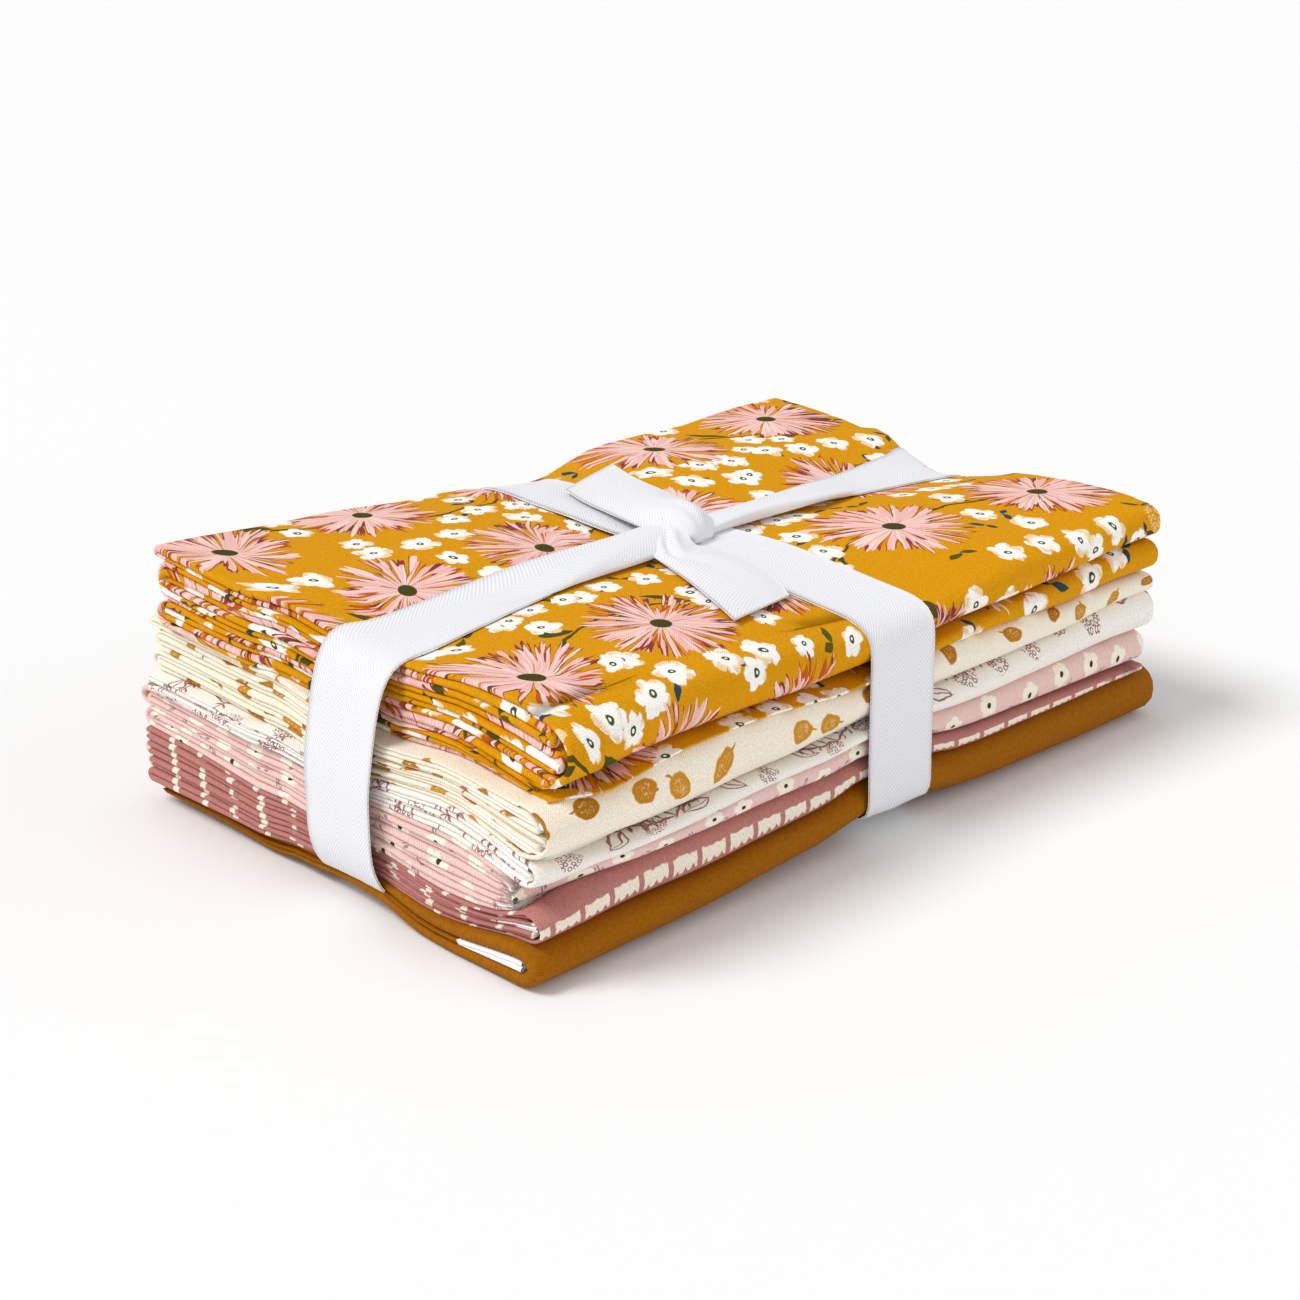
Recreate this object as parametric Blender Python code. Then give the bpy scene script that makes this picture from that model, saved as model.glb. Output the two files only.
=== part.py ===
"""A stack of six folded cotton cuts, tied crosswise and lengthwise with one flat ribbon.

The origin is on the resting surface under the middle of the stack. X runs along the long side, Y along the
short side and Z up. Lengths are millimetres here, and MM turns them into metres where a mesh is made.
Each cut is one strip that goes back and forth across the stack. Its folds show at the back and its wrap
shows at the front. The seams between the cuts are smooth surfaces that the ribbon pinches.
"""
import math
from collections import namedtuple

import bmesh
import bpy
from mathutils import Vector
from mathutils.bvhtree import BVHTree

MM = 0.001

# The stack
HALF_LENGTH = 117.0
HALF_WIDTH = 76.0
LAYER_GAP = 0.5

# The ribbon: a flat tape, laid once round the short way and once round the long way
TAPE_WIDTH = 24.0
TAPE_THICK = 1.0
TAPE_GAP = 0.45
TAPE_LAP = 0.4
CROSS_X = 7.7
CROSS_X_BACK = 4.5
CROSS_X_DRAW = 5.0
CROSS_DRAW_REACH = 62.0
LONG_Y_LEFT = -7.5
LONG_Y_RIGHT = 3.0

# How deep the ribbon presses into the stack, and how far to each side the press fades out
CROSS_PRESS_MIDDLE = 2.0
CROSS_PRESS_FRONT = 5.6
CROSS_PRESS_BACK = 11.5
CROSS_PRESS_REACH = 54.0
LONG_PRESS_MIDDLE = 1.8
LONG_PRESS_LEFT = 4.4
LONG_PRESS_RIGHT = 10.4
LONG_PRESS_REACH = 32.0
PUFF = 1.6
LIFT_FRONT = 3.4
LIFT_BACK = 3.0
LIFT_LEFT = 1.2
LIFT_RIGHT = 2.0
LIFT_REACH = 36.0
LIFT_DEPTH = 30.0
CHANNEL_DEPTH = 2.1
Channel = namedtuple("Channel", "low_edge low_flat high_flat high_edge")
CROSS_CHANNEL = Channel(-17.0, -8.0, 20.5, 30.0)
LONG_CHANNEL = Channel(-31.0, -21.0, 16.5, 27.0)

# Height of the seam above each cut: four places along the front edge, two along the back edge
Seam = namedtuple("Seam", "name front_left front_inner front_middle front_right back_left back_right")
SEAMS = (
    Seam("stack_foot", 0.0, 0.0, 0.0, 0.0, 0.0, 0.0),
    Seam("brown_top", 9.0, 10.6, 12.0, 11.8, 5.2, 10.0),
    Seam("mauve_top", 17.5, 21.2, 18.8, 15.8, 21.0, 18.0),
    Seam("pink_top", 25.0, 25.8, 25.8, 23.8, 31.0, 27.0),
    Seam("line_top", 32.5, 31.0, 32.0, 34.0, 36.0, 35.0),
    Seam("cream_top", 46.5, 44.0, 43.5, 41.0, 52.0, 44.0),
    Seam("stack_top", 64.0, 64.0, 62.0, 60.5, 72.5, 62.5),
)
FRONT_INNER_X = -90.0

# Each cut: the order in which its strip visits its levels, counted from the bottom, and where its folds end.
# Reaches are distances from the middle of the stack. An end is cut back at the near and far left corners.
Cut = namedtuple(
    "Cut", "name order front_left front_right back_left back_right left_near left_far right colour rough"
)
CUTS = (
    Cut("cut_golden_brown", (1, 0, 3, 2), 76.0, 76.0, 72.0, 72.0, 117.0, 117.0, 117.2,
        (0.32, 0.12, 0.008), 0.9),
    Cut("cut_mauve_dash", (1, 0, 2), 75.6, 75.0, 75.5, 72.5, 116.5, 117.0, 117.0,
        (0.43, 0.19, 0.17), 0.9),
    Cut("cut_pink_blossom", (1, 0, 2), 66.0, 75.0, 76.0, 72.5, 116.5, 117.2, 116.5,
        (0.76, 0.50, 0.45), 0.9),
    Cut("cut_white_line", (1, 0, 2), 75.4, 76.0, 71.0, 72.0, 116.5, 117.0, 117.0,
        (0.86, 0.83, 0.77), 0.9),
    Cut("cut_cream_leaf", (1, 0, 4, 3, 2), 76.0, 76.0, 72.0, 71.5, 115.5, 117.2, 117.2,
        (0.88, 0.83, 0.67), 0.9),
    Cut("cut_mustard_flower", (1, 0, 2, 3, 7, 6, 5, 4), 76.0, 76.0, 66.0, 69.0, 110.0, 117.2, 117.2,
        (0.63, 0.31, 0.008), 0.9),
)
INNER_CUT_BACK = 6.0
FREE_END_BACK = 9.0
FOLD_STAGGER = 1.6
END_STAGGER = 1.1
ROUND_TOP_NEAR = 5.0
ROUND_TOP_FAR = 1.2
ROUND_TOP_TIED = 7.0
ROUND_TOP_DEPTH = 15.0
WRAP_DEPTH = 7.0
WRAP_SQUARENESS = 2.6
FRONT_DENT = 1.4
DENT_FLAT = 16.0
DENT_REACH = 44.0
WRAP_STEPS = 6
FOLD_STEPS = 3

# Where every layer has a row of points, so that layers on each other are bent alike
ROWS_X = (-90.0, -50.0, -17.0, -8.0, 20.5, 30.0, 61.0, 92.0)
ROWS_Y = (-64.0, -31.0, -21.0, 16.5, 27.0, 60.0)

# The ribbon's loops: rows of points along each run, and how it turns the edges
TAPE_SHARES = (-1.0, -0.33, 0.33, 1.0)
TAPE_CORNER = 4.0
TAPE_FEEL = 3.0
CROSS_TOP_ROWS = (-66.5, -56.0, -44.0, -31.0, -21.0, -10.0, 3.0, 16.5, 27.0, 38.0, 50.0, 60.0)
CROSS_END = 76.0
CROSS_BACK_TOP = 68.6
CROSS_TOP_BACK_DROP = 5.0
CROSS_SIDE_ROWS = (17.0, 30.0, 43.0)
CROSS_FOOT_ROWS = (60.0, 44.0, 27.0, 16.5, -2.0, -21.0, -31.0, -48.0, -64.0)
LONG_TOP_ROWS = (-108.0, -90.0, -70.0, -50.0, -33.0, -17.0, -8.0, 6.0, 20.5, 30.0, 46.0, 61.0, 76.0, 92.0,
                 107.0)
LONG_END = 118.1
LONG_TOP_DROP = 12.0
LONG_SIDE_ROWS = (12.0, 24.0, 36.0)
LONG_FOOT_ROWS = (107.0, 92.0, 76.0, 61.0, 46.0, 30.0, 20.5, 6.0, -8.0, -17.0, -33.0, -50.0, -70.0, -90.0,
                  -107.0)
LongWidth = namedtuple("LongWidth", "x width")
LONG_WIDTHS = (
    LongWidth(-108.0, 24.0),
    LongWidth(-60.0, 20.0),
    LongWidth(-22.0, 15.0),
    LongWidth(6.0, 11.0),
    LongWidth(38.0, 13.0),
    LongWidth(84.0, 17.0),
    LongWidth(112.0, 24.0),
)

# The knot and the two free ends. Across is the direction of the tape's width, in degrees from X.
KNOT_X = 0.5
KNOT_Y = -3.5
KNOT_RISE = 4.7
KNOT_HALF_X = 9.0
KNOT_HALF_Y = 8.0
KNOT_HALF_Z = 4.8
KNOT_STRAP_ANGLE = 35.0
KNOT_STRAP_SWELL = 0.16
KNOT_STRAP_HALF = 0.8
KNOT_SEGMENTS = 14
KNOT_RINGS = 8
TailRow = namedtuple("TailRow", "x y across width rise tilt")
BACK_TAIL = (
    TailRow(0.8, 0.0, 14.0, 11.0, 4.0, 0.0),
    TailRow(2.6, 9.0, 14.0, 17.0, 4.2, 0.0),
    TailRow(5.4, 20.0, 14.0, 21.0, 3.4, 0.2),
    TailRow(8.4, 32.0, 13.0, 22.0, 2.9, 0.3),
    TailRow(11.6, 42.8, 12.0, 22.0, 3.3, 0.6),
)
FRONT_TAIL = (
    TailRow(-3.6, -7.0, -28.0, 11.0, 3.4, 0.0),
    TailRow(-9.4, -15.0, -24.0, 17.0, 3.2, 0.0),
    TailRow(-15.4, -26.0, -18.0, 21.0, 2.2, 0.0),
    TailRow(-19.6, -40.0, -8.0, 22.0, 1.4, 0.0),
    TailRow(-23.1, -55.5, 5.0, 22.6, 1.0, 0.0),
)
TAPE_COLOUR = (0.90, 0.90, 0.92)
TAPE_ROUGH = 0.8


def bell(distance, reach):
    """1 at no distance, falling smoothly to 0 at the reach."""
    share = min(1.0, abs(distance) / reach)
    return (1.0 - share * share) ** 2


def ramp(value, low, high):
    """0 below low, 1 above high and a smooth step between them."""
    share = min(1.0, max(0.0, (value - low) / (high - low)))
    return share * share * (3.0 - 2.0 * share)


def plateau(value, limits):
    """1 between the flat limits, falling smoothly to 0 at the edges."""
    rise = ramp(value, limits.low_edge, limits.low_flat)
    return rise * (1.0 - ramp(value, limits.high_flat, limits.high_edge))


def mix(a, b, share):
    return a + (b - a) * share


def foot_x(y):
    """Middle line of the crosswise ribbon under the stack."""
    return mix(CROSS_X, CROSS_X_BACK, (y + HALF_WIDTH) / (2.0 * HALF_WIDTH))


def cross_x(y):
    """Middle line of the crosswise ribbon on top, drawn aside a little towards the knot."""
    return foot_x(y) - CROSS_X_DRAW * bell(y, CROSS_DRAW_REACH)


def long_y(x):
    """Middle line of the lengthwise ribbon, which isn't quite square to the stack."""
    return mix(LONG_Y_LEFT, LONG_Y_RIGHT, (x + HALF_LENGTH) / (2.0 * HALF_LENGTH))


def press(x, y):
    """How far the ribbon and its tension pull the top of the stack down."""
    edge = min(1.0, abs(y) / HALF_WIDTH) ** 2
    at_edge = CROSS_PRESS_FRONT if y < 0.0 else CROSS_PRESS_BACK
    crosswise = mix(CROSS_PRESS_MIDDLE, at_edge, edge) * bell(x - cross_x(y), CROSS_PRESS_REACH)
    end = min(1.0, abs(x) / HALF_LENGTH) ** 2
    at_end = LONG_PRESS_LEFT if x < 0.0 else LONG_PRESS_RIGHT
    lengthwise = mix(LONG_PRESS_MIDDLE, at_end, end) * bell(y - long_y(x), LONG_PRESS_REACH)
    puff = PUFF * (1.0 - (x / HALF_LENGTH) ** 4) * (1.0 - (y / HALF_WIDTH) ** 4)
    return crosswise + lengthwise - max(0.0, puff)


def lift(x, y):
    """How far the stack's foot stands off the surface: channels for the ribbon, raised edges beside it."""
    cross = abs(x - foot_x(y))
    along = abs(y - long_y(x))
    channel = CHANNEL_DEPTH * max(plateau(x, CROSS_CHANNEL), plateau(y, LONG_CHANNEL))
    front = LIFT_FRONT * ramp(-y, HALF_WIDTH - LIFT_DEPTH, HALF_WIDTH)
    back = LIFT_BACK * ramp(y, HALF_WIDTH - LIFT_DEPTH, HALF_WIDTH)
    left = LIFT_LEFT * ramp(-x, HALF_LENGTH - LIFT_DEPTH, HALF_LENGTH)
    right = LIFT_RIGHT * ramp(x, HALF_LENGTH - LIFT_DEPTH, HALF_LENGTH)
    return channel + (front + back) * bell(cross, LIFT_REACH) + (left + right) * bell(along, LIFT_REACH)


def seam_height(index, x, y):
    """Height of a seam, from the table, with the press and the lift shared out through the stack."""
    seam = SEAMS[index]
    if x < FRONT_INNER_X:
        front = mix(seam.front_left, seam.front_inner, ramp(x, -HALF_LENGTH, FRONT_INNER_X))
    elif x < CROSS_X:
        front = mix(seam.front_inner, seam.front_middle, ramp(x, FRONT_INNER_X, CROSS_X))
    else:
        front = mix(seam.front_middle, seam.front_right, ramp(x, CROSS_X, HALF_LENGTH))
    back = mix(seam.back_left, seam.back_right, (x + HALF_LENGTH) / (2.0 * HALF_LENGTH))
    height = mix(front, back, (y + HALF_WIDTH) / (2.0 * HALF_WIDTH))
    share = index / (len(SEAMS) - 1.0)
    return height + lift(x, y) * (1.0 - share) - press(x, y) * share - LAYER_GAP / 2.0


def level_height(cut_index, level, x, y):
    """Middle height of one layer of a cut."""
    levels = len(CUTS[cut_index].order)
    return mix(seam_height(cut_index, x, y), seam_height(cut_index + 1, x, y), (level + 0.5) / levels)


def layer_thick(cut_index, x, y):
    levels = len(CUTS[cut_index].order)
    return (seam_height(cut_index + 1, x, y) - seam_height(cut_index, x, y)) / levels - LAYER_GAP


def fold_reach(cut_index, side, fold, x):
    """Distance from the middle to the outside of a fold: the front wrap, or a staggered fold at the back."""
    cut = CUTS[cut_index]
    share = (x + HALF_LENGTH) / (2.0 * HALF_LENGTH)
    if side < 0:
        reach = mix(cut.front_left, cut.front_right, ramp(share, 0.0, 0.14))
        return reach - FRONT_DENT * (1.0 - ramp(abs(x - CROSS_X), DENT_FLAT, DENT_REACH))
    reach = mix(cut.back_left, cut.back_right, share)
    return reach - FOLD_STAGGER * (0.5 + 0.5 * math.sin(2.1 * fold + 1.3 * cut_index)) * (1.0 - share)


def end_x(cut_index, level, y, side):
    """Where a layer ends at the short side: cut back at the near corner and round the top edge."""
    cut = CUTS[cut_index]
    z = level_height(cut_index, level, side * HALF_LENGTH, y)
    depth = seam_height(len(CUTS), side * HALF_LENGTH, y) - z
    near = ramp(-y, HALF_WIDTH * 0.2, HALF_WIDTH)
    at_corner = mix(ROUND_TOP_FAR, ROUND_TOP_NEAR, near) if side < 0 else ROUND_TOP_FAR
    rounding = mix(at_corner, ROUND_TOP_TIED, plateau(y, LONG_CHANNEL))
    rounding *= max(0.0, 1.0 - depth / ROUND_TOP_DEPTH) ** 2
    stagger = END_STAGGER * (0.5 + 0.5 * math.sin(2.4 * level + 1.7 * cut_index))
    reach = mix(cut.left_far, cut.left_near, near) if side < 0 else cut.right
    return side * (reach - rounding - stagger)


# A point of a folded strip's section. A row point has its place across the stack, an end point has the side
# of its free end, and a fold point has its angle on the turn from one level to the next.
Station = namedtuple("Station", "kind going level following fold where")


def strip_stations(order):
    """The points of a strip's section in order: rows across each layer, then the fold to the next layer."""
    stations = [Station("end", 1, order[0], order[0], 0, -1.0)]
    going = 1
    for fold, level in enumerate(order):
        rows = ROWS_Y if going > 0 else tuple(reversed(ROWS_Y))
        stations.extend(Station("row", going, level, level, fold, y) for y in rows)
        if fold + 1 < len(order):
            following = order[fold + 1]
            steps = FOLD_STEPS if abs(following - level) == 1 else WRAP_STEPS
            for step in range(steps + 1):
                angle = math.pi * (step / steps - 0.5)
                stations.append(Station("fold", going, level, following, fold, angle))
            going = -going
    stations.append(Station("end", going, order[-1], order[-1], len(order), float(going)))
    return stations


def inside_wrap(order, level, following):
    """Whether a wrap of the same cut goes round this fold."""
    low, high = min(level, following), max(level, following)
    wraps = [pair for pair in zip(order, order[1:]) if abs(pair[0] - pair[1]) > 1]
    return any(min(pair) < low and max(pair) > high for pair in wraps)


def place_flat(cut_index, station, x_of):
    """Place of a row point or a free end, and the way the strip's left side faces there."""
    y = station.where
    if station.kind == "end":
        y *= fold_reach(cut_index, station.where, station.fold, 0.0) - FREE_END_BACK
    x = x_of(station.level, y)
    return x, y, level_height(cut_index, station.level, x, y), 0.0, float(station.going)


def place_fold(cut_index, station, x_of):
    """Place of a fold point on its rounded turn, and the way the strip's left side faces there."""
    order = CUTS[cut_index].order
    level, following, side = station.level, station.following, station.going
    near = side * (fold_reach(cut_index, side, station.fold, 0.0) - WRAP_DEPTH / 2.0)
    x = x_of(level, near)
    reach = fold_reach(cut_index, side, station.fold, x) - layer_thick(cut_index, x, near) / 2.0
    if side < 0 and inside_wrap(order, level, following):
        reach -= INNER_CUT_BACK
    first = level_height(cut_index, level, x, near)
    second = level_height(cut_index, following, x, near)
    half = abs(second - first) / 2.0
    tight = abs(following - level) == 1
    depth = half if tight else min(WRAP_DEPTH, half)
    power = 1.0 if tight else 2.0 / WRAP_SQUARENESS
    cosine = max(0.0, math.cos(station.where))
    sine = math.sin(station.where)
    turn = 1.0 if following > level else -1.0
    base = side * (reach - depth)
    y = base + side * depth * cosine ** power
    middle = (level_height(cut_index, level, x, base) + level_height(cut_index, following, x, base)) / 2.0
    z = middle + turn * half * math.copysign(abs(sine) ** power, sine)
    out_y = side * cosine ** (2.0 - power) / depth
    out_z = turn * math.copysign(abs(sine) ** (2.0 - power), sine) / half
    size = -side * turn * math.hypot(out_y, out_z)
    return x, y, z, out_y / size, out_z / size


def add_triangles(mesh, corners, flip):
    """Split a quad along the diagonal that the layers above and below share."""
    a, b, c, d = corners
    pairs = ((a, b, d), (b, c, d)) if flip else ((a, b, c), (a, c, d))
    for triangle in pairs:
        mesh.faces.new(triangle)


def folded_strip(cut_index):
    """Mesh of one cut: its section, swept along X and closed at both short ends."""
    cut = CUTS[cut_index]
    stations = strip_stations(cut.order)
    columns = len(ROWS_X) + 2

    def column_x(column):
        if column == 0:
            return lambda level, y: end_x(cut_index, level, y, -1)
        if column == columns - 1:
            return lambda level, y: end_x(cut_index, level, y, 1)
        return lambda level, y: ROWS_X[column - 1]

    mesh = bmesh.new()
    left, right = [], []
    for station in stations:
        place = place_fold if station.kind == "fold" else place_flat
        left.append([])
        right.append([])
        for column in range(columns):
            x, y, z, face_y, face_z = place(cut_index, station, column_x(column))
            half = layer_thick(cut_index, x, y) / 2.0
            for row, off in ((left[-1], half), (right[-1], -half)):
                row.append(mesh.verts.new((x * MM, (y + face_y * off) * MM, max(0.0, z + face_z * off) * MM)))
    for i in range(len(stations) - 1):
        flip = stations[i].going < 0
        for j in range(columns - 1):
            for rows in (left, right):
                add_triangles(mesh, (rows[i][j], rows[i + 1][j], rows[i + 1][j + 1], rows[i][j + 1]), flip)
        for j in (0, columns - 1):
            add_triangles(mesh, (left[i][j], left[i + 1][j], right[i + 1][j], right[i][j]), False)
    for i in (0, len(stations) - 1):
        for j in range(columns - 1):
            add_triangles(mesh, (left[i][j], left[i][j + 1], right[i][j + 1], right[i][j]), False)
    return mesh


def corner(start, end, along_first, steps):
    """Points on a squarish quarter turn between two points, not counting its start.

    The turn leaves along the first coordinate when along_first is true, and along the second otherwise.
    """
    points = []
    for step in range(1, steps + 1):
        angle = 0.5 * math.pi * step / steps
        fast = math.sin(angle) ** (2.0 / WRAP_SQUARENESS)
        slow = 1.0 - math.cos(angle) ** (2.0 / WRAP_SQUARENESS)
        shares = (fast, slow) if along_first else (slow, fast)
        points.append((mix(start[0], end[0], shares[0]), mix(start[1], end[1], shares[1])))
    return points


class Drape:
    """Feels the outside of the stack, so that the ribbon can lie on it."""

    def __init__(self, objects):
        points, triangles = [], []
        for item in objects:
            start = len(points)
            points.extend(vert.co / MM for vert in item.data.vertices)
            triangles.extend([start + k for k in face.vertices] for face in item.data.polygons)
        self.tree = BVHTree.FromPolygons(points, triangles)

    def heights(self, x, y, start, down):
        found = []
        for dx in (-TAPE_FEEL, 0.0, TAPE_FEEL):
            for dy in (-TAPE_FEEL, 0.0, TAPE_FEEL):
                hit = self.tree.ray_cast(Vector((x + dx, y + dy, start)), Vector((0.0, 0.0, down)))[0]
                if hit is not None:
                    found.append(hit.z)
        return found

    def top(self, x, y):
        """Middle height of the tape where it lies on the stack."""
        return max(self.heights(x, y, 200.0, -1.0)) + TAPE_GAP + TAPE_THICK / 2.0

    def foot(self, x, y):
        """Middle height of the tape where it runs under the stack."""
        return min(self.heights(x, y, -100.0, 1.0)) - TAPE_GAP - TAPE_THICK / 2.0


def cross_line(drape, share):
    """Closed line of the crosswise loop at a share of its half width, from the top front edge backwards."""
    offset = share * TAPE_WIDTH / 2.0
    x_front, x_back = CROSS_X + offset, CROSS_X_BACK + offset
    points = []
    for y in CROSS_TOP_ROWS:
        x = cross_x(y) + offset
        points.append((x, y, drape.top(x, y)))
    y_top, top = points[-1][1:]
    for y, z in corner((y_top, top), (CROSS_BACK_TOP, top - CROSS_TOP_BACK_DROP), True, 3):
        points.append((x_back, y, z))
    for z in reversed(CROSS_SIDE_ROWS):
        points.append((x_back, CROSS_END, z))
    y_foot = CROSS_END - TAPE_CORNER
    foot = drape.foot(x_back, CROSS_FOOT_ROWS[0])
    for y, z in corner((CROSS_END, foot + TAPE_CORNER), (y_foot, foot), False, 3):
        points.append((x_back, y, z))
    for y in CROSS_FOOT_ROWS:
        x = foot_x(y) + offset
        points.append((x, y, drape.foot(x, y)))
    foot = points[-1][2]
    for y, z in corner((-y_foot, foot), (-CROSS_END, foot + TAPE_CORNER), True, 3):
        points.append((x_front, y, z))
    for z in CROSS_SIDE_ROWS:
        points.append((x_front, -CROSS_END, z))
    y_top, top = points[0][1:]
    for y, z in corner((-CROSS_END, top - WRAP_DEPTH), (y_top, top), False, 4)[:-1]:
        points.append((x_front, y, z))
    return points


def tape_width(x):
    """Width of the lengthwise ribbon on top: it gathers towards the knot, more so on the far arm."""
    for near, far in zip(LONG_WIDTHS, LONG_WIDTHS[1:]):
        if x <= far.x:
            return mix(near.width, far.width, ramp(x, near.x, far.x))
    return LONG_WIDTHS[-1].width


def long_line(drape, share):
    """Closed line of the lengthwise loop at a share of its half width, from the top left end to the right."""
    offset = share * TAPE_WIDTH / 2.0
    y_left, y_right = LONG_Y_LEFT + offset, LONG_Y_RIGHT + offset
    points = []
    for x in LONG_TOP_ROWS:
        y = long_y(x) + share * tape_width(x) / 2.0
        points.append((x, y, drape.top(x, y)))
    x_top, _, top = points[-1]
    for x, z in corner((x_top, top), (LONG_END, top - LONG_TOP_DROP), True, 4):
        points.append((x, y_right, z))
    for z in reversed(LONG_SIDE_ROWS):
        points.append((LONG_END, y_right, z))
    x_foot = LONG_END - TAPE_CORNER
    foot = drape.foot(LONG_FOOT_ROWS[0], y_right) - TAPE_LAP
    for x, z in corner((LONG_END, foot + TAPE_CORNER), (x_foot, foot), False, 3):
        points.append((x, y_right, z))
    for x in LONG_FOOT_ROWS:
        y = long_y(x) + offset
        points.append((x, y, drape.foot(x, y) - TAPE_LAP))
    foot = points[-1][2]
    for x, z in corner((-x_foot, foot), (-LONG_END, foot + TAPE_CORNER), True, 3):
        points.append((x, y_left, z))
    for z in LONG_SIDE_ROWS:
        points.append((-LONG_END, y_left, z))
    x_top, _, top = points[0]
    for x, z in corner((-LONG_END, top - LONG_TOP_DROP), (x_top, top), False, 4)[:-1]:
        points.append((x, y_left, z))
    return points


def tail_lines(drape, rows):
    """Lines of a free end of the ribbon, from its table of middle points."""
    lines = []
    for share in TAPE_SHARES:
        line = []
        for row in rows:
            turn = math.radians(row.across)
            x = row.x + share * row.width / 2.0 * math.cos(turn)
            y = row.y + share * row.width / 2.0 * math.sin(turn)
            line.append((x, y, drape.top(row.x, row.y) + row.rise + row.tilt * share))
        lines.append(line)
    return lines


def tape_mesh(lines, closed):
    """Mesh of a tape through parallel lines, with its thickness to both sides."""
    mesh = bmesh.new()
    count = len(lines[0])
    faces_out, faces_in = [], []
    for k, line in enumerate(lines):
        out_row, in_row = [], []
        for i, point in enumerate(line):
            before = line[(i - 1) % count] if closed else line[max(0, i - 1)]
            after = line[(i + 1) % count] if closed else line[min(count - 1, i + 1)]
            low = lines[max(0, k - 1)][i]
            high = lines[min(len(lines) - 1, k + 1)][i]
            along = Vector(after) - Vector(before)
            across = Vector(high) - Vector(low)
            normal = across.cross(along).normalized() * (TAPE_THICK / 2.0)
            out_row.append(mesh.verts.new((Vector(point) + normal) * MM))
            in_row.append(mesh.verts.new((Vector(point) - normal) * MM))
        faces_out.append(out_row)
        faces_in.append(in_row)
    steps = count if closed else count - 1
    for i in range(steps):
        j = (i + 1) % count
        for k in range(len(lines) - 1):
            for rows in (faces_out, faces_in):
                add_triangles(mesh, (rows[k][i], rows[k][j], rows[k + 1][j], rows[k + 1][i]), False)
        for k in (0, len(lines) - 1):
            add_triangles(mesh, (faces_out[k][i], faces_out[k][j], faces_in[k][j], faces_in[k][i]), False)
    if not closed:
        for i in (0, count - 1):
            for k in range(len(lines) - 1):
                end = (faces_out[k][i], faces_out[k + 1][i], faces_in[k + 1][i], faces_in[k][i])
                add_triangles(mesh, end, False)
    return mesh


def knot_mesh(drape):
    """The knot: a rounded lump with the strap that crosses over it."""
    mesh = bmesh.new()
    bmesh.ops.create_uvsphere(mesh, u_segments=KNOT_SEGMENTS, v_segments=KNOT_RINGS, radius=1.0)
    middle = Vector((KNOT_X, KNOT_Y, drape.top(KNOT_X, KNOT_Y) + KNOT_RISE))
    size = Vector((KNOT_HALF_X, KNOT_HALF_Y, KNOT_HALF_Z))
    strap = math.radians(KNOT_STRAP_ANGLE)
    for vert in mesh.verts:
        beside = vert.co.x * math.sin(strap) - vert.co.y * math.cos(strap)
        swell = 1.0 + KNOT_STRAP_SWELL * bell(beside, KNOT_STRAP_HALF) * max(0.0, vert.co.z)
        vert.co = (middle + vert.co * size * swell) * MM
    return mesh


def material(name, colour, rough):
    made = bpy.data.materials.new(name)
    made.use_nodes = True
    shader = made.node_tree.nodes["Principled BSDF"]
    shader.inputs["Base Color"].default_value = (*colour, 1.0)
    shader.inputs["Roughness"].default_value = rough
    shader.inputs["Metallic"].default_value = 0.0
    return made


def add_object(name, mesh, finish):
    bmesh.ops.recalc_face_normals(mesh, faces=mesh.faces)
    data = bpy.data.meshes.new(name)
    mesh.to_mesh(data)
    mesh.free()
    made = bpy.data.objects.new(name, data)
    data.materials.append(finish)
    bpy.context.scene.collection.objects.link(made)
    return made


def build_ribbon(cuts):
    """The ribbon as one body: both loops, the knot and the two free ends, joined."""
    finish = material("ribbon_finish", TAPE_COLOUR, TAPE_ROUGH)
    drape = Drape(cuts)
    cross_loop = tape_mesh([cross_line(drape, share) for share in TAPE_SHARES], True)
    ribbon = add_object("ribbon_tie", cross_loop, finish)
    joined = (
        ("long_loop", tape_mesh([long_line(drape, share) for share in TAPE_SHARES], True)),
        ("back_tail", tape_mesh(tail_lines(drape, BACK_TAIL), False)),
        ("front_tail", tape_mesh(tail_lines(drape, FRONT_TAIL), False)),
        ("knot", knot_mesh(drape)),
    )
    for name, mesh in joined:
        guide = add_object(name, mesh, finish)
        guide.hide_render = True
        guide.display_type = "WIRE"
        union = ribbon.modifiers.new("join_" + name, "BOOLEAN")
        union.operation = "UNION"
        union.solver = "EXACT"
        union.object = guide
    return ribbon


def clear_scene():
    for item in list(bpy.data.objects):
        bpy.data.objects.remove(item, do_unlink=True)


def build():
    clear_scene()
    cuts = []
    for index, cut in enumerate(CUTS):
        finish = material(cut.name + "_finish", cut.colour, cut.rough)
        cuts.append(add_object(cut.name, folded_strip(index), finish))
    build_ribbon(cuts)


build()
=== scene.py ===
"""Looks of the fabric bundle: six folded cotton cuts and the ribbon that ties them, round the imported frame.

Lengths in the tables are millimetres, and MM turns them into metres where a mesh is made. The stack's first
numbers are those of the part's source: the ribbon's places and press, the lift of the foot, and the seams
between the cuts. The finer shapes of the cloth follow them.
"""
import math
from collections import namedtuple
from functools import partialmethod

import bpy
import numpy as np
from mathutils import Matrix, Vector


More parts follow.
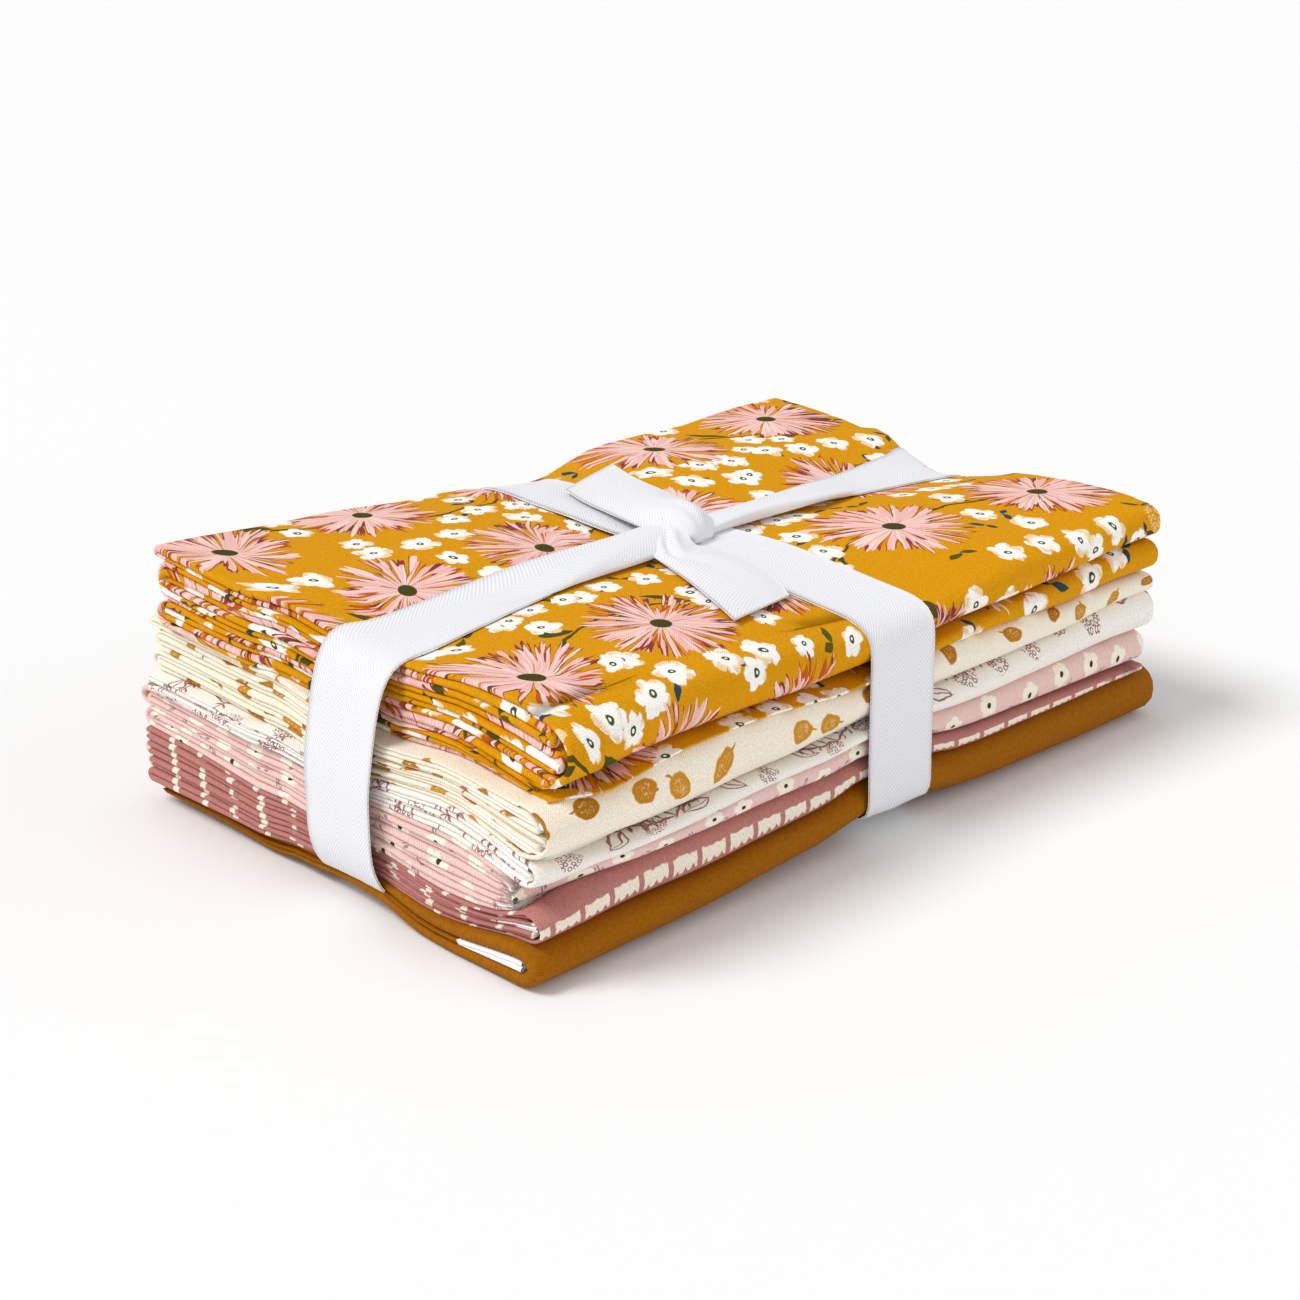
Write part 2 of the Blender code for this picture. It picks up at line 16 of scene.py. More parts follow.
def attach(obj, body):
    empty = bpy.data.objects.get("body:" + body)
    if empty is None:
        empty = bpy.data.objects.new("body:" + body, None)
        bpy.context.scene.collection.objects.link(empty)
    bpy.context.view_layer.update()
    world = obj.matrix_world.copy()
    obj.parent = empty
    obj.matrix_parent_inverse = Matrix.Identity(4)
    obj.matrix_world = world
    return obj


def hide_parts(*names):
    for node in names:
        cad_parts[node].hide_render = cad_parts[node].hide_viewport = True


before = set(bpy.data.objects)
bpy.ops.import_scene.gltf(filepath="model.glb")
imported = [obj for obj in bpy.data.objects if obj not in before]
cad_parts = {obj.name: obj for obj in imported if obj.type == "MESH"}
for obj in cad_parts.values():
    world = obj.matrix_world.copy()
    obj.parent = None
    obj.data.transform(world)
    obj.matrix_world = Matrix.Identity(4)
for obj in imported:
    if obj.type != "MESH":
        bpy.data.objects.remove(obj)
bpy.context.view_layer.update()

MM = 0.001

# The stack, as in the part's source
HALF_LENGTH = 117
HALF_WIDTH = 76
CROSS_X = 7.7
CROSS_X_BACK = 4.5
CROSS_X_DRAW = 5
CROSS_DRAW_REACH = 62
LONG_Y_LEFT = -7.5
LONG_Y_RIGHT = 3
CROSS_PRESS_MIDDLE = 2
CROSS_PRESS_FRONT = 5.6
CROSS_PRESS_BACK = 11.5
CROSS_PRESS_REACH = 54
LONG_PRESS_MIDDLE = 1.8
LONG_PRESS_LEFT = 4.4
LONG_PRESS_RIGHT = 10.4
LONG_PRESS_REACH = 32
PUFF = 1.6
LIFT_FRONT = 3.4
LIFT_BACK = 3
LIFT_LEFT = 1.2
LIFT_RIGHT = 2
LIFT_REACH = 36
LIFT_DEPTH = 30
CHANNEL_DEPTH = 2.1
Channel = namedtuple("Channel", "low_edge low_flat high_flat high_edge")
CROSS_CHANNEL = Channel(-17, -8, 20.5, 30)
LONG_CHANNEL = Channel(-31, -21, 16.5, 27)
Seam = namedtuple("Seam", "name front_left front_inner front_middle front_right back_left back_right")
SEAMS = (
    Seam("stack_foot", 0, 0, 0, 0, 0, 0),
    Seam("brown_top", 9, 10.6, 12, 11.8, 5.2, 10),
    Seam("mauve_top", 17.5, 21.2, 18.8, 15.8, 21, 18),
    Seam("pink_top", 25, 25.8, 25.8, 23.8, 31, 27),
    Seam("line_top", 32.5, 31, 32, 34, 36, 35),
    Seam("cream_top", 46.5, 44, 43.5, 41, 52, 44),
    Seam("stack_top", 64, 64, 62, 60.5, 72.5, 62.5),
)
FRONT_INNER_X = -90

# Finer shapes, which the solids don't have. The crosswise press is wider at the back, from a Y on, and the
# lengthwise one is narrower behind its right end.
CROSS_PRESS_REACH_BACK = 66
CROSS_PRESS_WIDE_Y = 15
LONG_PRESS_LESS = 7
LONG_PRESS_LESS_X = 50
LONG_PRESS_LESS_Y = 8
# How far each seam lies off those heights at the left end, by Y: the seen layers roll and dip there
LEFT_Y = (-76, -70, -60, -50, -40, -30, -20, -10, 0, 10, 20, 30, 45, 60, 76)
LEFT_OFF = (
    (0, 0, 0, 0, 0, 0, 0, 0, 0, -0.6, -0.1, 1, 1.9, 2.2, 1.8),
    (0, 0, -0.8, -1.4, -1.4, -0.8, -0.4, -0.8, -1.6, -1.9, -1.5, -0.4, 0, 0, 0),
    (2, 0.8, -3, -4.8, -4.8, -3.6, -2.8, -2.5, -2.4, -2.3, -2, -1.4, -0.5, 0, 0),
    (0, 0, 1.8, 3, 3, 2.7, 2.4, 2.2, 2.5, 2.7, 2.3, 2.3, 1.8, 1.7, 1.5),
    (1, 2.3, 3.6, 4, 3.4, 2.8, 2.6, 1.5, 1.3, 1.3, 1.2, 1, 1.4, 1.4, 1.2),
    (0, 0, -0.2, -1.2, -1.9, -2.5, -2, -0.4, 0.8, 1.2, 1, 0.3, 0, 0, 0),
    (0, 0, 0.4, 0, -0.6, -1.3, -1.3, -0.6, 0.4, 0.9, 1, 1, 1, 1, 1),
)
LEFT_OFF_END_X = -78
# And how far off it lies at the front right, at the front and the back by X, and at the right end by Y
RIGHT_OFF = (0, 1.6, 2.2, 2.4, 2.4, 2, 1.2)
FRONT_X = (-117, -110.5, -97, -83.5, -70, -56, -41.5, -27, -12.5, 7, 24, 41.5, 58.6, 75.7, 92.8, 110)
FRONT_OFF = (
    (0, 0, 0.4, 0.8, 1.2, 1.8, 3, 3.8, 1.9, -0.6, 0.4, 1.6, 1.1, 0.5, -0.4, -0.8),
    (2.3, 2.1, 0.7, 0.6, 0.3, 0.4, 1.3, 1.7, 0.4, 0, 0, 0.7, 0.6, 0.6, 0.9, 0.9),
    (0.3, 0.3, 0.6, 1.5, 1.7, 1.8, 2.6, 3, 1.6, 0, -1.2, -1.2, -1.6, -1.5, -1.6, -2),
    (-1, -1.2, 0.5, 0.3, 0.1, 0.7, 1.7, 2.4, 1.4, 0.4, -0.5, -0.7, -0.8, -0.4, -0.4, -1.1),
    (-3, -4.4, -3.2, -2.4, -1.6, -0.7, -0.3, 0, -0.4, 0, 0.3, 0.2, -0.4, -0.2, 1, 0.6),
    (-2.5, -2.3, -0.9, 1.4, 3, 3.1, 3, 3, 2.2, 2.4, 3, 1.8, 0.1, -0.7, 0.3, -0.5),
    (0, 0, 0, 0, 0, 0, 0, 0, 0, 0, 0, 0, 0, 0, 0, 0),
)
BACK_X = (-117, -94, -78, -63, -51, -40, -32, -24, -16, 0, 14, 22, 30, 38, 45, 61, 72,
          84, 100)
BACK_OFF = (0.2, -0.7, -1.5, -1.9, -2.2, -1.2, 0, 1.8, 3, 2.4, 1.1, 2.4, 3.6, 3.6, 1.8, -1.1, -2, -0.9, 0.2)
RIGHT_Y = (-76, -68, -60, -52.7, -45, -37, -29, -21.5, -13.7, -6, 2, 10, 17, 25, 33, 41, 55)
RIGHT_TOP_OFF = (0.6, 1.6, 1.6, 1.2, 0.9, -0.3, -0.9, -1.5, 0, 1.2, 1.9, 2.8, 1.6, 0.3, -1.5, -0.6, 0)
# Where those four fade in, from their first number to their second: by X, or by the distance out along Y
RIGHT_OFF_X = (-40, 60)
RIGHT_OFF_OUT = (-70, 60)
FRONT_OFF_OUT = (38, 68)
BACK_OFF_OUT = (20, 66)
RIGHT_TOP_X = (70, 112)
DROOP = 1.5
DROOP_REACH = 14
DROOP_NEAR = 1.8
DROOP_REACH_NEAR = 24
DROOP_END_X = -62

# The cuts: the order in which a strip visits its levels from the bottom, how many plies lie in each other
# in a level, how far each side reaches, and how wide the selvage is
Cut = namedtuple("Cut", "name order nested front_left front_right back_left back_right"
                        " left_near left_tied left_far right selvage")
CUTS = (
    Cut("cut_golden_brown", (1, 0, 3, 2), 3, 76, 76, 72, 72, 118.9, 116.9, 117, 118.7, 22),
    Cut("cut_mauve_dash", (3, 2, 1, 0, 7, 6, 5, 4), 2, 75.6, 75, 75, 72.5, 116.5, 117.6, 119.2, 112.2, 13),
    Cut("cut_pink_blossom", (1, 2, 3, 0, 7, 4, 5, 6), 2, 66, 75, 76, 72.5, 116.5, 119, 118.4, 112.7, 8),
    Cut("cut_white_line", (1, 2, 3, 0, 5, 4), 2, 74, 76, 71, 72, 116.5, 118.5, 120.2, 115.2, 10),
    Cut("cut_cream_leaf", (2, 1, 3, 0, 9, 8, 6, 5, 4, 7), 2, 77.4, 76, 72, 71.5, 115.5, 117.5, 116.8, 113.2,
        24),
    Cut("cut_mustard_flower", (1, 2, 0, 3, 11, 10, 9, 4, 5, 8, 6, 7), 1, 78.2, 76, 66, 69, 110, 112.6, 118.6,
        115.6, 11),
)
THICK_FOLD_CUT = 0
INNER_SHARE_BACK = 0.09
INNER_SHARE_FRONT = 0.13
INNER_SHARE_OUT = (30, 70)
EDGE_WANDER = 0.16
LOWER_WRAP_CUT = 5
LOWER_WRAP_LEVELS = 3
LOWER_WRAP_X = (-117, -12, 24, 58, 76, 110)
LOWER_WRAP_SHARE = (0.05, 0.07, 0.25, 0.32, 0.42, 0.46)
LOWER_WRAP_OUT = (20, 70)
LOWER_WRAP_BACK = 8
LOWER_WRAP_END_X = -88
LEVEL_GAP = 0.14
PLY_STEP = 0.36
WRAP_DEPTH = 7
INNER_WRAP_DEPTH = 3.2
WRAP_SQUARENESS = 2.6
WRAP_TIED_MORE = 4
WRAP_NEAR_MORE = 7
WRAP_NEAR_END_X = -60
INNER_CUT_BACK = 0.8
INNER_FOLD_BACK = 1.2
INNER_FOLD_STEP = 1.3
OUTER_FOLD_OUT = 1.3
OUTER_FOLD_STRAY = 0.7
FREE_END_BACK = 9
FREE_END_IN_WRAP = 1
WRAP_ROOM = 0.3
FRONT_DENT = 1.4
DENT_FLAT = 16
DENT_REACH = 44
ROUND_TOP_NEAR = 1.8
ROUND_TOP_FAR = 0.4
ROUND_TOP_TIED = 3
ROUND_TOP_DEPTH = 15
MAUVE_ROW = 12.2
DASHED_CUT = 1
MAP_APART = (41, 23)
PLY_MAP_APART = 19
LEAST_HALF = 0.12
TIP_BACK = 0.25
TIP_STAGGER = 0.55
TIP_Y = (-HALF_WIDTH, -45, LONG_Y_LEFT, 30, 60)
CURL_ANGLES = (30, 60, 84)

FOLD_STEPS = 6
WRAP_STEPS = 10
NOSE_STEPS = 6
ROWS_Y = np.concatenate([np.linspace(-66, -20, 8), np.linspace(-14, 16, 5), np.linspace(22, 58, 7)])
COLUMNS = np.concatenate([np.linspace(0, 0.04, 4)[:-1], np.linspace(0.04, 0.93, 27)[:-1],
                          np.linspace(0.93, 1, 7)])


def srgb(red, green, blue):
    """Linear colour from eye values of 0 to 255."""
    return tuple(
        value / 12.92 if value <= 0.04045 else ((value + 0.055) / 1.055) ** 2.4
        for value in (red / 255, green / 255, blue / 255)
    )


def bell(distance, reach):
    share = np.clip(np.abs(distance) / reach, 0, 1)
    return (1 - share * share) ** 2


def ramp(value, low, high):
    share = np.clip((value - low) / (high - low), 0, 1)
    return share * share * (3 - 2 * share)


def plateau(value, limits):
    rise = ramp(value, limits.low_edge, limits.low_flat)
    return rise * (1 - ramp(value, limits.high_flat, limits.high_edge))


def mix(a, b, share):
    return a + (b - a) * share


def foot_x(y):
    return mix(CROSS_X, CROSS_X_BACK, (y + HALF_WIDTH) / (2 * HALF_WIDTH))


def cross_x(y):
    return foot_x(y) - CROSS_X_DRAW * bell(y, CROSS_DRAW_REACH)


def long_y(x):
    return mix(LONG_Y_LEFT, LONG_Y_RIGHT, (x + HALF_LENGTH) / (2 * HALF_LENGTH))


def press(x, y):
    """How far the ribbon and its tension pull the top of the stack down."""
    edge = np.minimum(1, np.abs(y) / HALF_WIDTH) ** 2
    at_edge = np.where(y < 0, CROSS_PRESS_FRONT, CROSS_PRESS_BACK)
    wide = mix(CROSS_PRESS_REACH, CROSS_PRESS_REACH_BACK, ramp(y, CROSS_PRESS_WIDE_Y, HALF_WIDTH))
    crosswise = mix(CROSS_PRESS_MIDDLE, at_edge, edge) * bell(x - cross_x(y), wide)
    end = np.minimum(1, np.abs(x) / HALF_LENGTH) ** 2
    at_end = np.where(x < 0, LONG_PRESS_LEFT, LONG_PRESS_RIGHT)
    behind = ramp(x, LONG_PRESS_LESS_X, HALF_LENGTH) * ramp(y - long_y(x), 0, LONG_PRESS_LESS_Y)
    along = LONG_PRESS_REACH - LONG_PRESS_LESS * behind
    lengthwise = mix(LONG_PRESS_MIDDLE, at_end, end) * bell(y - long_y(x), along)
    puff = PUFF * (1 - (x / HALF_LENGTH) ** 4) * (1 - (y / HALF_WIDTH) ** 4)
    return crosswise + lengthwise - np.maximum(0, puff)


def lift(x, y):
    """How far the stack's foot stands off the surface."""
    cross = np.abs(x - foot_x(y))
    along = np.abs(y - long_y(x))
    channel = CHANNEL_DEPTH * np.maximum(plateau(x, CROSS_CHANNEL), plateau(y, LONG_CHANNEL))
    front = LIFT_FRONT * ramp(-y, HALF_WIDTH - LIFT_DEPTH, HALF_WIDTH)
    back = LIFT_BACK * ramp(y, HALF_WIDTH - LIFT_DEPTH, HALF_WIDTH)
    left = LIFT_LEFT * ramp(-x, HALF_LENGTH - LIFT_DEPTH, HALF_LENGTH)
    right = LIFT_RIGHT * ramp(x, HALF_LENGTH - LIFT_DEPTH, HALF_LENGTH)
    return channel + (front + back) * bell(cross, LIFT_REACH) + (left + right) * bell(along, LIFT_REACH)


def droop(x, y):
    """How far the top of the stack rounds down to its front edge, most of all at the near corner."""
    near = 1 - ramp(x, -HALF_LENGTH, DROOP_END_X)
    reach = mix(DROOP_REACH, DROOP_REACH_NEAR, near)
    out = np.maximum(0, -y - (HALF_WIDTH - reach)) / reach
    return mix(DROOP, DROOP_NEAR, near) * out * out


def seam_height(index, x, y):
    seam = SEAMS[index]
    front = seam.front_left + (seam.front_inner - seam.front_left) * ramp(x, -HALF_LENGTH, FRONT_INNER_X)
    front = front + (seam.front_middle - seam.front_inner) * ramp(x, FRONT_INNER_X, CROSS_X)
    front = front + (seam.front_right - seam.front_middle) * ramp(x, CROSS_X, HALF_LENGTH)
    back = mix(seam.back_left, seam.back_right, (x + HALF_LENGTH) / (2 * HALF_LENGTH))
    height = mix(front, back, (y + HALF_WIDTH) / (2 * HALF_WIDTH))
    share = index / (len(SEAMS) - 1)
    height = height + np.interp(y, LEFT_Y, LEFT_OFF[index]) * (1 - ramp(x, -HALF_LENGTH, LEFT_OFF_END_X))
    height = height + RIGHT_OFF[index] * ramp(x, *RIGHT_OFF_X) * ramp(-y, *RIGHT_OFF_OUT)
    height = height + np.interp(x, FRONT_X, FRONT_OFF[index]) * ramp(-y, *FRONT_OFF_OUT)
    height = height + np.interp(x, BACK_X, BACK_OFF) * ramp(y, *BACK_OFF_OUT) * share
    height = height + np.interp(y, RIGHT_Y, RIGHT_TOP_OFF) * ramp(x, *RIGHT_TOP_X) * share
    if index == len(SEAMS) - 1:
        height = height - droop(x, y)
    height = height + lift(x, y) * (1 - share) - press(x, y) * share
    return np.maximum(height, 0)


def foot_height(x, y):
    return float(seam_height(0, x, y))


def level_share(cut_index, edge, x, y):
    """Share of a cut's height below an edge between two levels, counted from the bottom."""
    levels = len(CUTS[cut_index].order)
    if cut_index == THICK_FOLD_CUT:
        inner = mix(INNER_SHARE_BACK, INNER_SHARE_FRONT, ramp(-y, *INNER_SHARE_OUT))
        return (0, 0.5 - inner, 0.5, 0.5 + inner, 1)[edge] + 0 * x
    even = edge / levels
    if 0 < edge < levels:
        even = even + EDGE_WANDER / levels * np.sin(5.1 * edge + 2.3 * cut_index + 0.035 * y + 0.012 * x)
    if cut_index != LOWER_WRAP_CUT:
        return even + 0 * x
    lower = np.interp(x, LOWER_WRAP_X, LOWER_WRAP_SHARE)
    lower = mix(LOWER_WRAP_LEVELS / levels, lower, ramp(-y, *LOWER_WRAP_OUT))
    shifted = np.where(
        edge <= LOWER_WRAP_LEVELS,
        lower * edge / LOWER_WRAP_LEVELS,
        lower + (1 - lower) * (edge - LOWER_WRAP_LEVELS) / (levels - LOWER_WRAP_LEVELS),
    )
    return shifted + (even - edge / levels)


def level_edge(cut_index, edge, x, y):
    share = level_share(cut_index, edge, x, y)
    return mix(seam_height(cut_index, x, y), seam_height(cut_index + 1, x, y), share)


def level_middle(cut_index, level, x, y):
    return 0.5 * (level_edge(cut_index, level, x, y) + level_edge(cut_index, level + 1, x, y))


def level_half(cut_index, level, x, y):
    """Half the thickness of one level."""
    return 0.5 * (level_edge(cut_index, level + 1, x, y) - level_edge(cut_index, level, x, y) - LEVEL_GAP)


def side_reach(cut_index, side, x):
    cut = CUTS[cut_index]
    share = (x + HALF_LENGTH) / (2 * HALF_LENGTH)
    if side < 0:
        reach = mix(cut.front_left, cut.front_right, ramp(share, 0, 0.14))
        return reach - FRONT_DENT * (1 - ramp(np.abs(x - CROSS_X), DENT_FLAT, DENT_REACH))
    return mix(cut.back_left, cut.back_right, share)


def end_tip(cut_index, level, y, side):
    """X of a level's rounded tip at a short side."""
    cut = CUTS[cut_index]
    z = level_middle(cut_index, level, side * HALF_LENGTH, y)
    depth = seam_height(len(CUTS), side * HALF_LENGTH, y) - z
    near = ramp(-y, HALF_WIDTH * 0.2, HALF_WIDTH)
    at_corner = mix(ROUND_TOP_FAR, ROUND_TOP_NEAR, near) if side < 0 else ROUND_TOP_FAR
    rounding = mix(at_corner, ROUND_TOP_TIED, plateau(y, LONG_CHANNEL))
    rounding = rounding * np.maximum(0, 1 - depth / ROUND_TOP_DEPTH) ** 2
    wander = np.sin(2.4 * level + 1.7 * cut_index + 0.031 * y)
    wander = wander + 0.5 * np.sin(4.1 * level + 0.083 * y + cut_index)
    stagger = TIP_STAGGER * (1 + wander / 1.5)
    reach = cut.right
    if side < 0:
        reach = np.interp(y, TIP_Y, (cut.left_near, cut.left_near, cut.left_tied, cut.left_far, cut.left_far))
    return side * (reach - rounding - stagger)


Station = namedtuple("Station", "kind going level following where inset")


def nest_insets(order):
    """For each fold of a strip, how many folds on its side lie round it."""
    folds = [(k % 2, min(pair), max(pair)) for k, pair in enumerate(zip(order, order[1:]))]
    return [sum(1 for s, a, b in folds if s == side and a < low and b > high) for side, low, high in folds]


def strip_stations(order):
    """The points of a strip's section in order, from one free end at the front to the other."""
    insets = nest_insets(order)
    stations = [Station("end", 1, order[0], order[0], -1, 0)]
    going = 1
    for fold, level in enumerate(order):
        rows = ROWS_Y if going > 0 else ROWS_Y[::-1]
        stations.extend(Station("row", going, level, level, y, 0) for y in rows)
        if fold + 1 < len(order):
            following = order[fold + 1]
            steps = FOLD_STEPS if abs(following - level) == 1 else WRAP_STEPS
            for step in range(steps + 1):
                angle = math.pi * (step / steps - 0.5)
                stations.append(Station("fold", going, level, following, angle, insets[fold]))
            going = -going
    stations.append(Station("end", going, order[-1], order[-1], float(going), 0))
    return stations


def wrap_depth(x, half, inner):
    """Depth and squareness of an outer wrap at the front, or the depth of a tighter one."""
    tied = 1 - ramp(np.abs(x - CROSS_X), DENT_FLAT, DENT_REACH)
    near_end = 1 - ramp(x, -HALF_LENGTH, WRAP_NEAR_END_X)
    limit = INNER_WRAP_DEPTH if inner else WRAP_DEPTH + WRAP_TIED_MORE * tied + WRAP_NEAR_MORE * near_end
    return np.minimum(limit, half * 1.6), WRAP_SQUARENESS - 0.6 * np.maximum(tied, near_end)


def lower_back(cut_index, level, x):
    """How far the lower front wrap of the top cut stays behind the upper one near the left end."""
    if cut_index != LOWER_WRAP_CUT or level >= LOWER_WRAP_LEVELS:
        return 0 * x
    return LOWER_WRAP_BACK * (1 - ramp(x, -HALF_LENGTH, LOWER_WRAP_END_X))


def room(cut_index, level, x):
    """How far short of the front a level stays, so that it lies inside the wrap round it."""
    order = CUTS[cut_index].order
    wraps = [(min(pair), max(pair)) for k, pair in enumerate(zip(order, order[1:])) if k % 2]
    wraps = [(low, high) for low, high in wraps if low < level < high]
    if not wraps:
        return FREE_END_BACK + 0 * x
    low, high = max(wraps)
    y = -(side_reach(cut_index, -1, x) - WRAP_DEPTH)
    bottom, top = level_middle(cut_index, low, x, y), level_middle(cut_index, high, x, y)
    half = 0.5 * (top - bottom)
    depth, squareness = wrap_depth(x, half, len(wraps) > 1)
    off = np.clip(np.abs(level_middle(cut_index, level, x, y) - 0.5 * (top + bottom)) / half, 0, 1)
    round_off = depth * (1 - (1 - off ** squareness) ** (1 / squareness))
    return round_off + 2 * level_half(cut_index, high, x, y) + WRAP_ROOM + lower_back(cut_index, level, x)


def place_flat(cut_index, station, x):
    y = station.where
    if station.kind == "end":
        back = room(cut_index, station.level, x) + FREE_END_IN_WRAP if y < 0 else FREE_END_BACK
        y = y * (side_reach(cut_index, station.where, x) - back)
    y = y + 0 * x
    z = level_middle(cut_index, station.level, x, y)
    half = level_half(cut_index, station.level, x, y)
    return y, z, 0 * x, station.going + 0 * x, half


def place_fold(cut_index, station, x):
    level, following, side = station.level, station.following, station.going
    share = (math.sin(station.where) + 1) / 2
    near = side * (side_reach(cut_index, side, x) - WRAP_DEPTH / 2)
    half_thick = mix(level_half(cut_index, level, x, near), level_half(cut_index, following, x, near), share)
    reach = side_reach(cut_index, side, x) - half_thick
    wander = 1 + 0.5 * np.sin(1.9 * level + 0.9 * cut_index + 0.02 * x)
    if station.inset and side < 0:
        inside = mix(room(cut_index, level, x), room(cut_index, following, x), share)
        reach = reach - inside - INNER_CUT_BACK * wander
    elif station.inset:
        reach = reach - INNER_FOLD_BACK * wander - INNER_FOLD_STEP * (station.inset - 1)
    elif side < 0:
        reach = reach - lower_back(cut_index, max(level, following), x)
    else:
        reach = reach + OUTER_FOLD_OUT - OUTER_FOLD_STRAY * (1 + np.sin(2.1 * level + 1.3 * cut_index))
    first = level_middle(cut_index, level, x, near)
    second = level_middle(cut_index, following, x, near)
    half = np.abs(second - first) / 2
    tight = abs(following - level) == 1
    depth, squareness = wrap_depth(x, half, station.inset or side > 0)
    depth = half if tight else depth
    power = 1 if tight else 2 / squareness
    cosine = max(0, math.cos(station.where))
    sine = math.sin(station.where)
    turn = 1 if following > level else -1
    base = side * (reach - depth)
    y = base + side * depth * cosine ** power
    middle = 0.5 * (level_middle(cut_index, level, x, base) + level_middle(cut_index, following, x, base))
    z = middle + turn * half * math.copysign(1, sine) * abs(sine) ** power
    out_y = side * cosine ** (2 - power) / depth
    out_z = turn * math.copysign(1, sine) * abs(sine) ** (2 - power) / half
    size = -side * turn * np.hypot(out_y, out_z)
    return y, z, out_y / size, out_z / size, half_thick


def station_tips(cut_index, station):
    """X of the strip's two rounded tips at a station."""
    y, share = station.where, 0
    if station.kind == "end":
        y = station.where * (HALF_WIDTH - FREE_END_BACK)
    elif station.kind == "fold":
        y = station.going * (HALF_WIDTH - WRAP_DEPTH)
        share = (math.sin(station.where) + 1) / 2
    return [float(mix(end_tip(cut_index, station.level, y, side),
                      end_tip(cut_index, station.following, y, side), share)) for side in (-1, 1)]


def ply_rows(cut_index, stations, ply):
    """Points across the strip at each station: out along one side, round the tip and back along the other."""
    nose = np.linspace(0, math.pi, NOSE_STEPS + 2)[1:-1]
    curl = np.radians(CURL_ANGLES)
    rows = []
    for station in stations:
        place = place_flat if station.kind != "fold" else place_fold
        left_tip, right_tip = station_tips(cut_index, station)
        left_tip += ply * (PLY_STEP + TIP_BACK)
        right_tip -= ply * (PLY_STEP + TIP_BACK)
        ends = place(cut_index, station, np.array([right_tip, left_tip]))
        halves = np.maximum(LEAST_HALF, ends[4] - ply * PLY_STEP)
        x = mix(right_tip - halves[0], left_tip + halves[1], COLUMNS)
        y, z, face_y, face_z, half = place(cut_index, station, x)
        half = np.maximum(LEAST_HALF, half - ply * PLY_STEP)

        def round_tip(end, angle, turn=1):
            tip, inward = ((right_tip, -1), (left_tip, 1))[end]
            off = turn * halves[end] * math.cos(angle)
            return (tip + inward * halves[end] * (1 - math.sin(angle)),
                    ends[0][end] + ends[2][end] * off, ends[1][end] + ends[3][end] * off)

        points = [round_tip(0, angle) for angle in curl[::-1]]
        points.extend(zip(x, y + face_y * half, z + face_z * half))
        points.extend(round_tip(1, angle) for angle in nose)
        points.extend(zip(x[::-1], (y - face_y * half)[::-1], (z - face_z * half)[::-1]))
        points.extend(round_tip(0, angle, -1) for angle in curl)
        rows.append(np.array(points))
    return np.array(rows)


def grid_faces(start, rows, columns):
    """Quads of a grid of points that are numbered from start."""
    index = start + np.arange(rows * columns).reshape(rows, columns)
    quads = np.stack([index[:-1, :-1], index[1:, :-1], index[1:, 1:], index[:-1, 1:]], -1)
    return quads.reshape(-1, 4)


def make_mesh(name, points, faces, maps, marks=None):
    """An object from parts: points and maps in millimetres, faces, and values per point."""
    points, faces, maps = np.concatenate(points), np.concatenate(faces), np.concatenate(maps)
    data = bpy.data.meshes.new(name)
    data.from_pydata((points * MM).tolist(), [], [tuple(map(int, face)) for face in faces])
    data.update()
    loops = np.zeros(len(data.loops), np.int32)
    data.loops.foreach_get("vertex_index", loops)
    layer = data.uv_layers.new(name="cloth")
    layer.uv.foreach_set("vector", (maps * MM)[loops].astype(np.float32).ravel())
    for label, values in (marks or {}).items():
        attribute = data.attributes.new(label, "FLOAT", "POINT")
        attribute.data.foreach_set("value", np.asarray(values, np.float32))
    data.polygons.foreach_set("use_smooth", np.ones(len(data.polygons), bool))
    made = bpy.data.objects.new(name, data)
    bpy.context.scene.collection.objects.link(made)
    return made


def arc_lengths(points):
    """Running length along the last-but-one axis of an array of points."""
    steps = np.linalg.norm(np.diff(points, axis=-2), axis=-1)
    return np.concatenate([np.zeros(steps.shape[:-1] + (1,)), np.cumsum(steps, axis=-1)], -1)


def rows_on_folds(stations, along):
    """Ease the map along a strip so that the middle of each fold lies on a row of its print."""
    folds = {}
    for index, station in enumerate(stations):
        if station.kind == "fold":
            folds.setdefault((station.level, station.following), []).append(index)
    middles = np.array([along[group[len(group) // 2]] for group in folds.values()])
    eased = (np.round(middles / MAUVE_ROW - 0.5) + 0.5) * MAUVE_ROW
    return along + np.interp(along, middles, eased - middles)


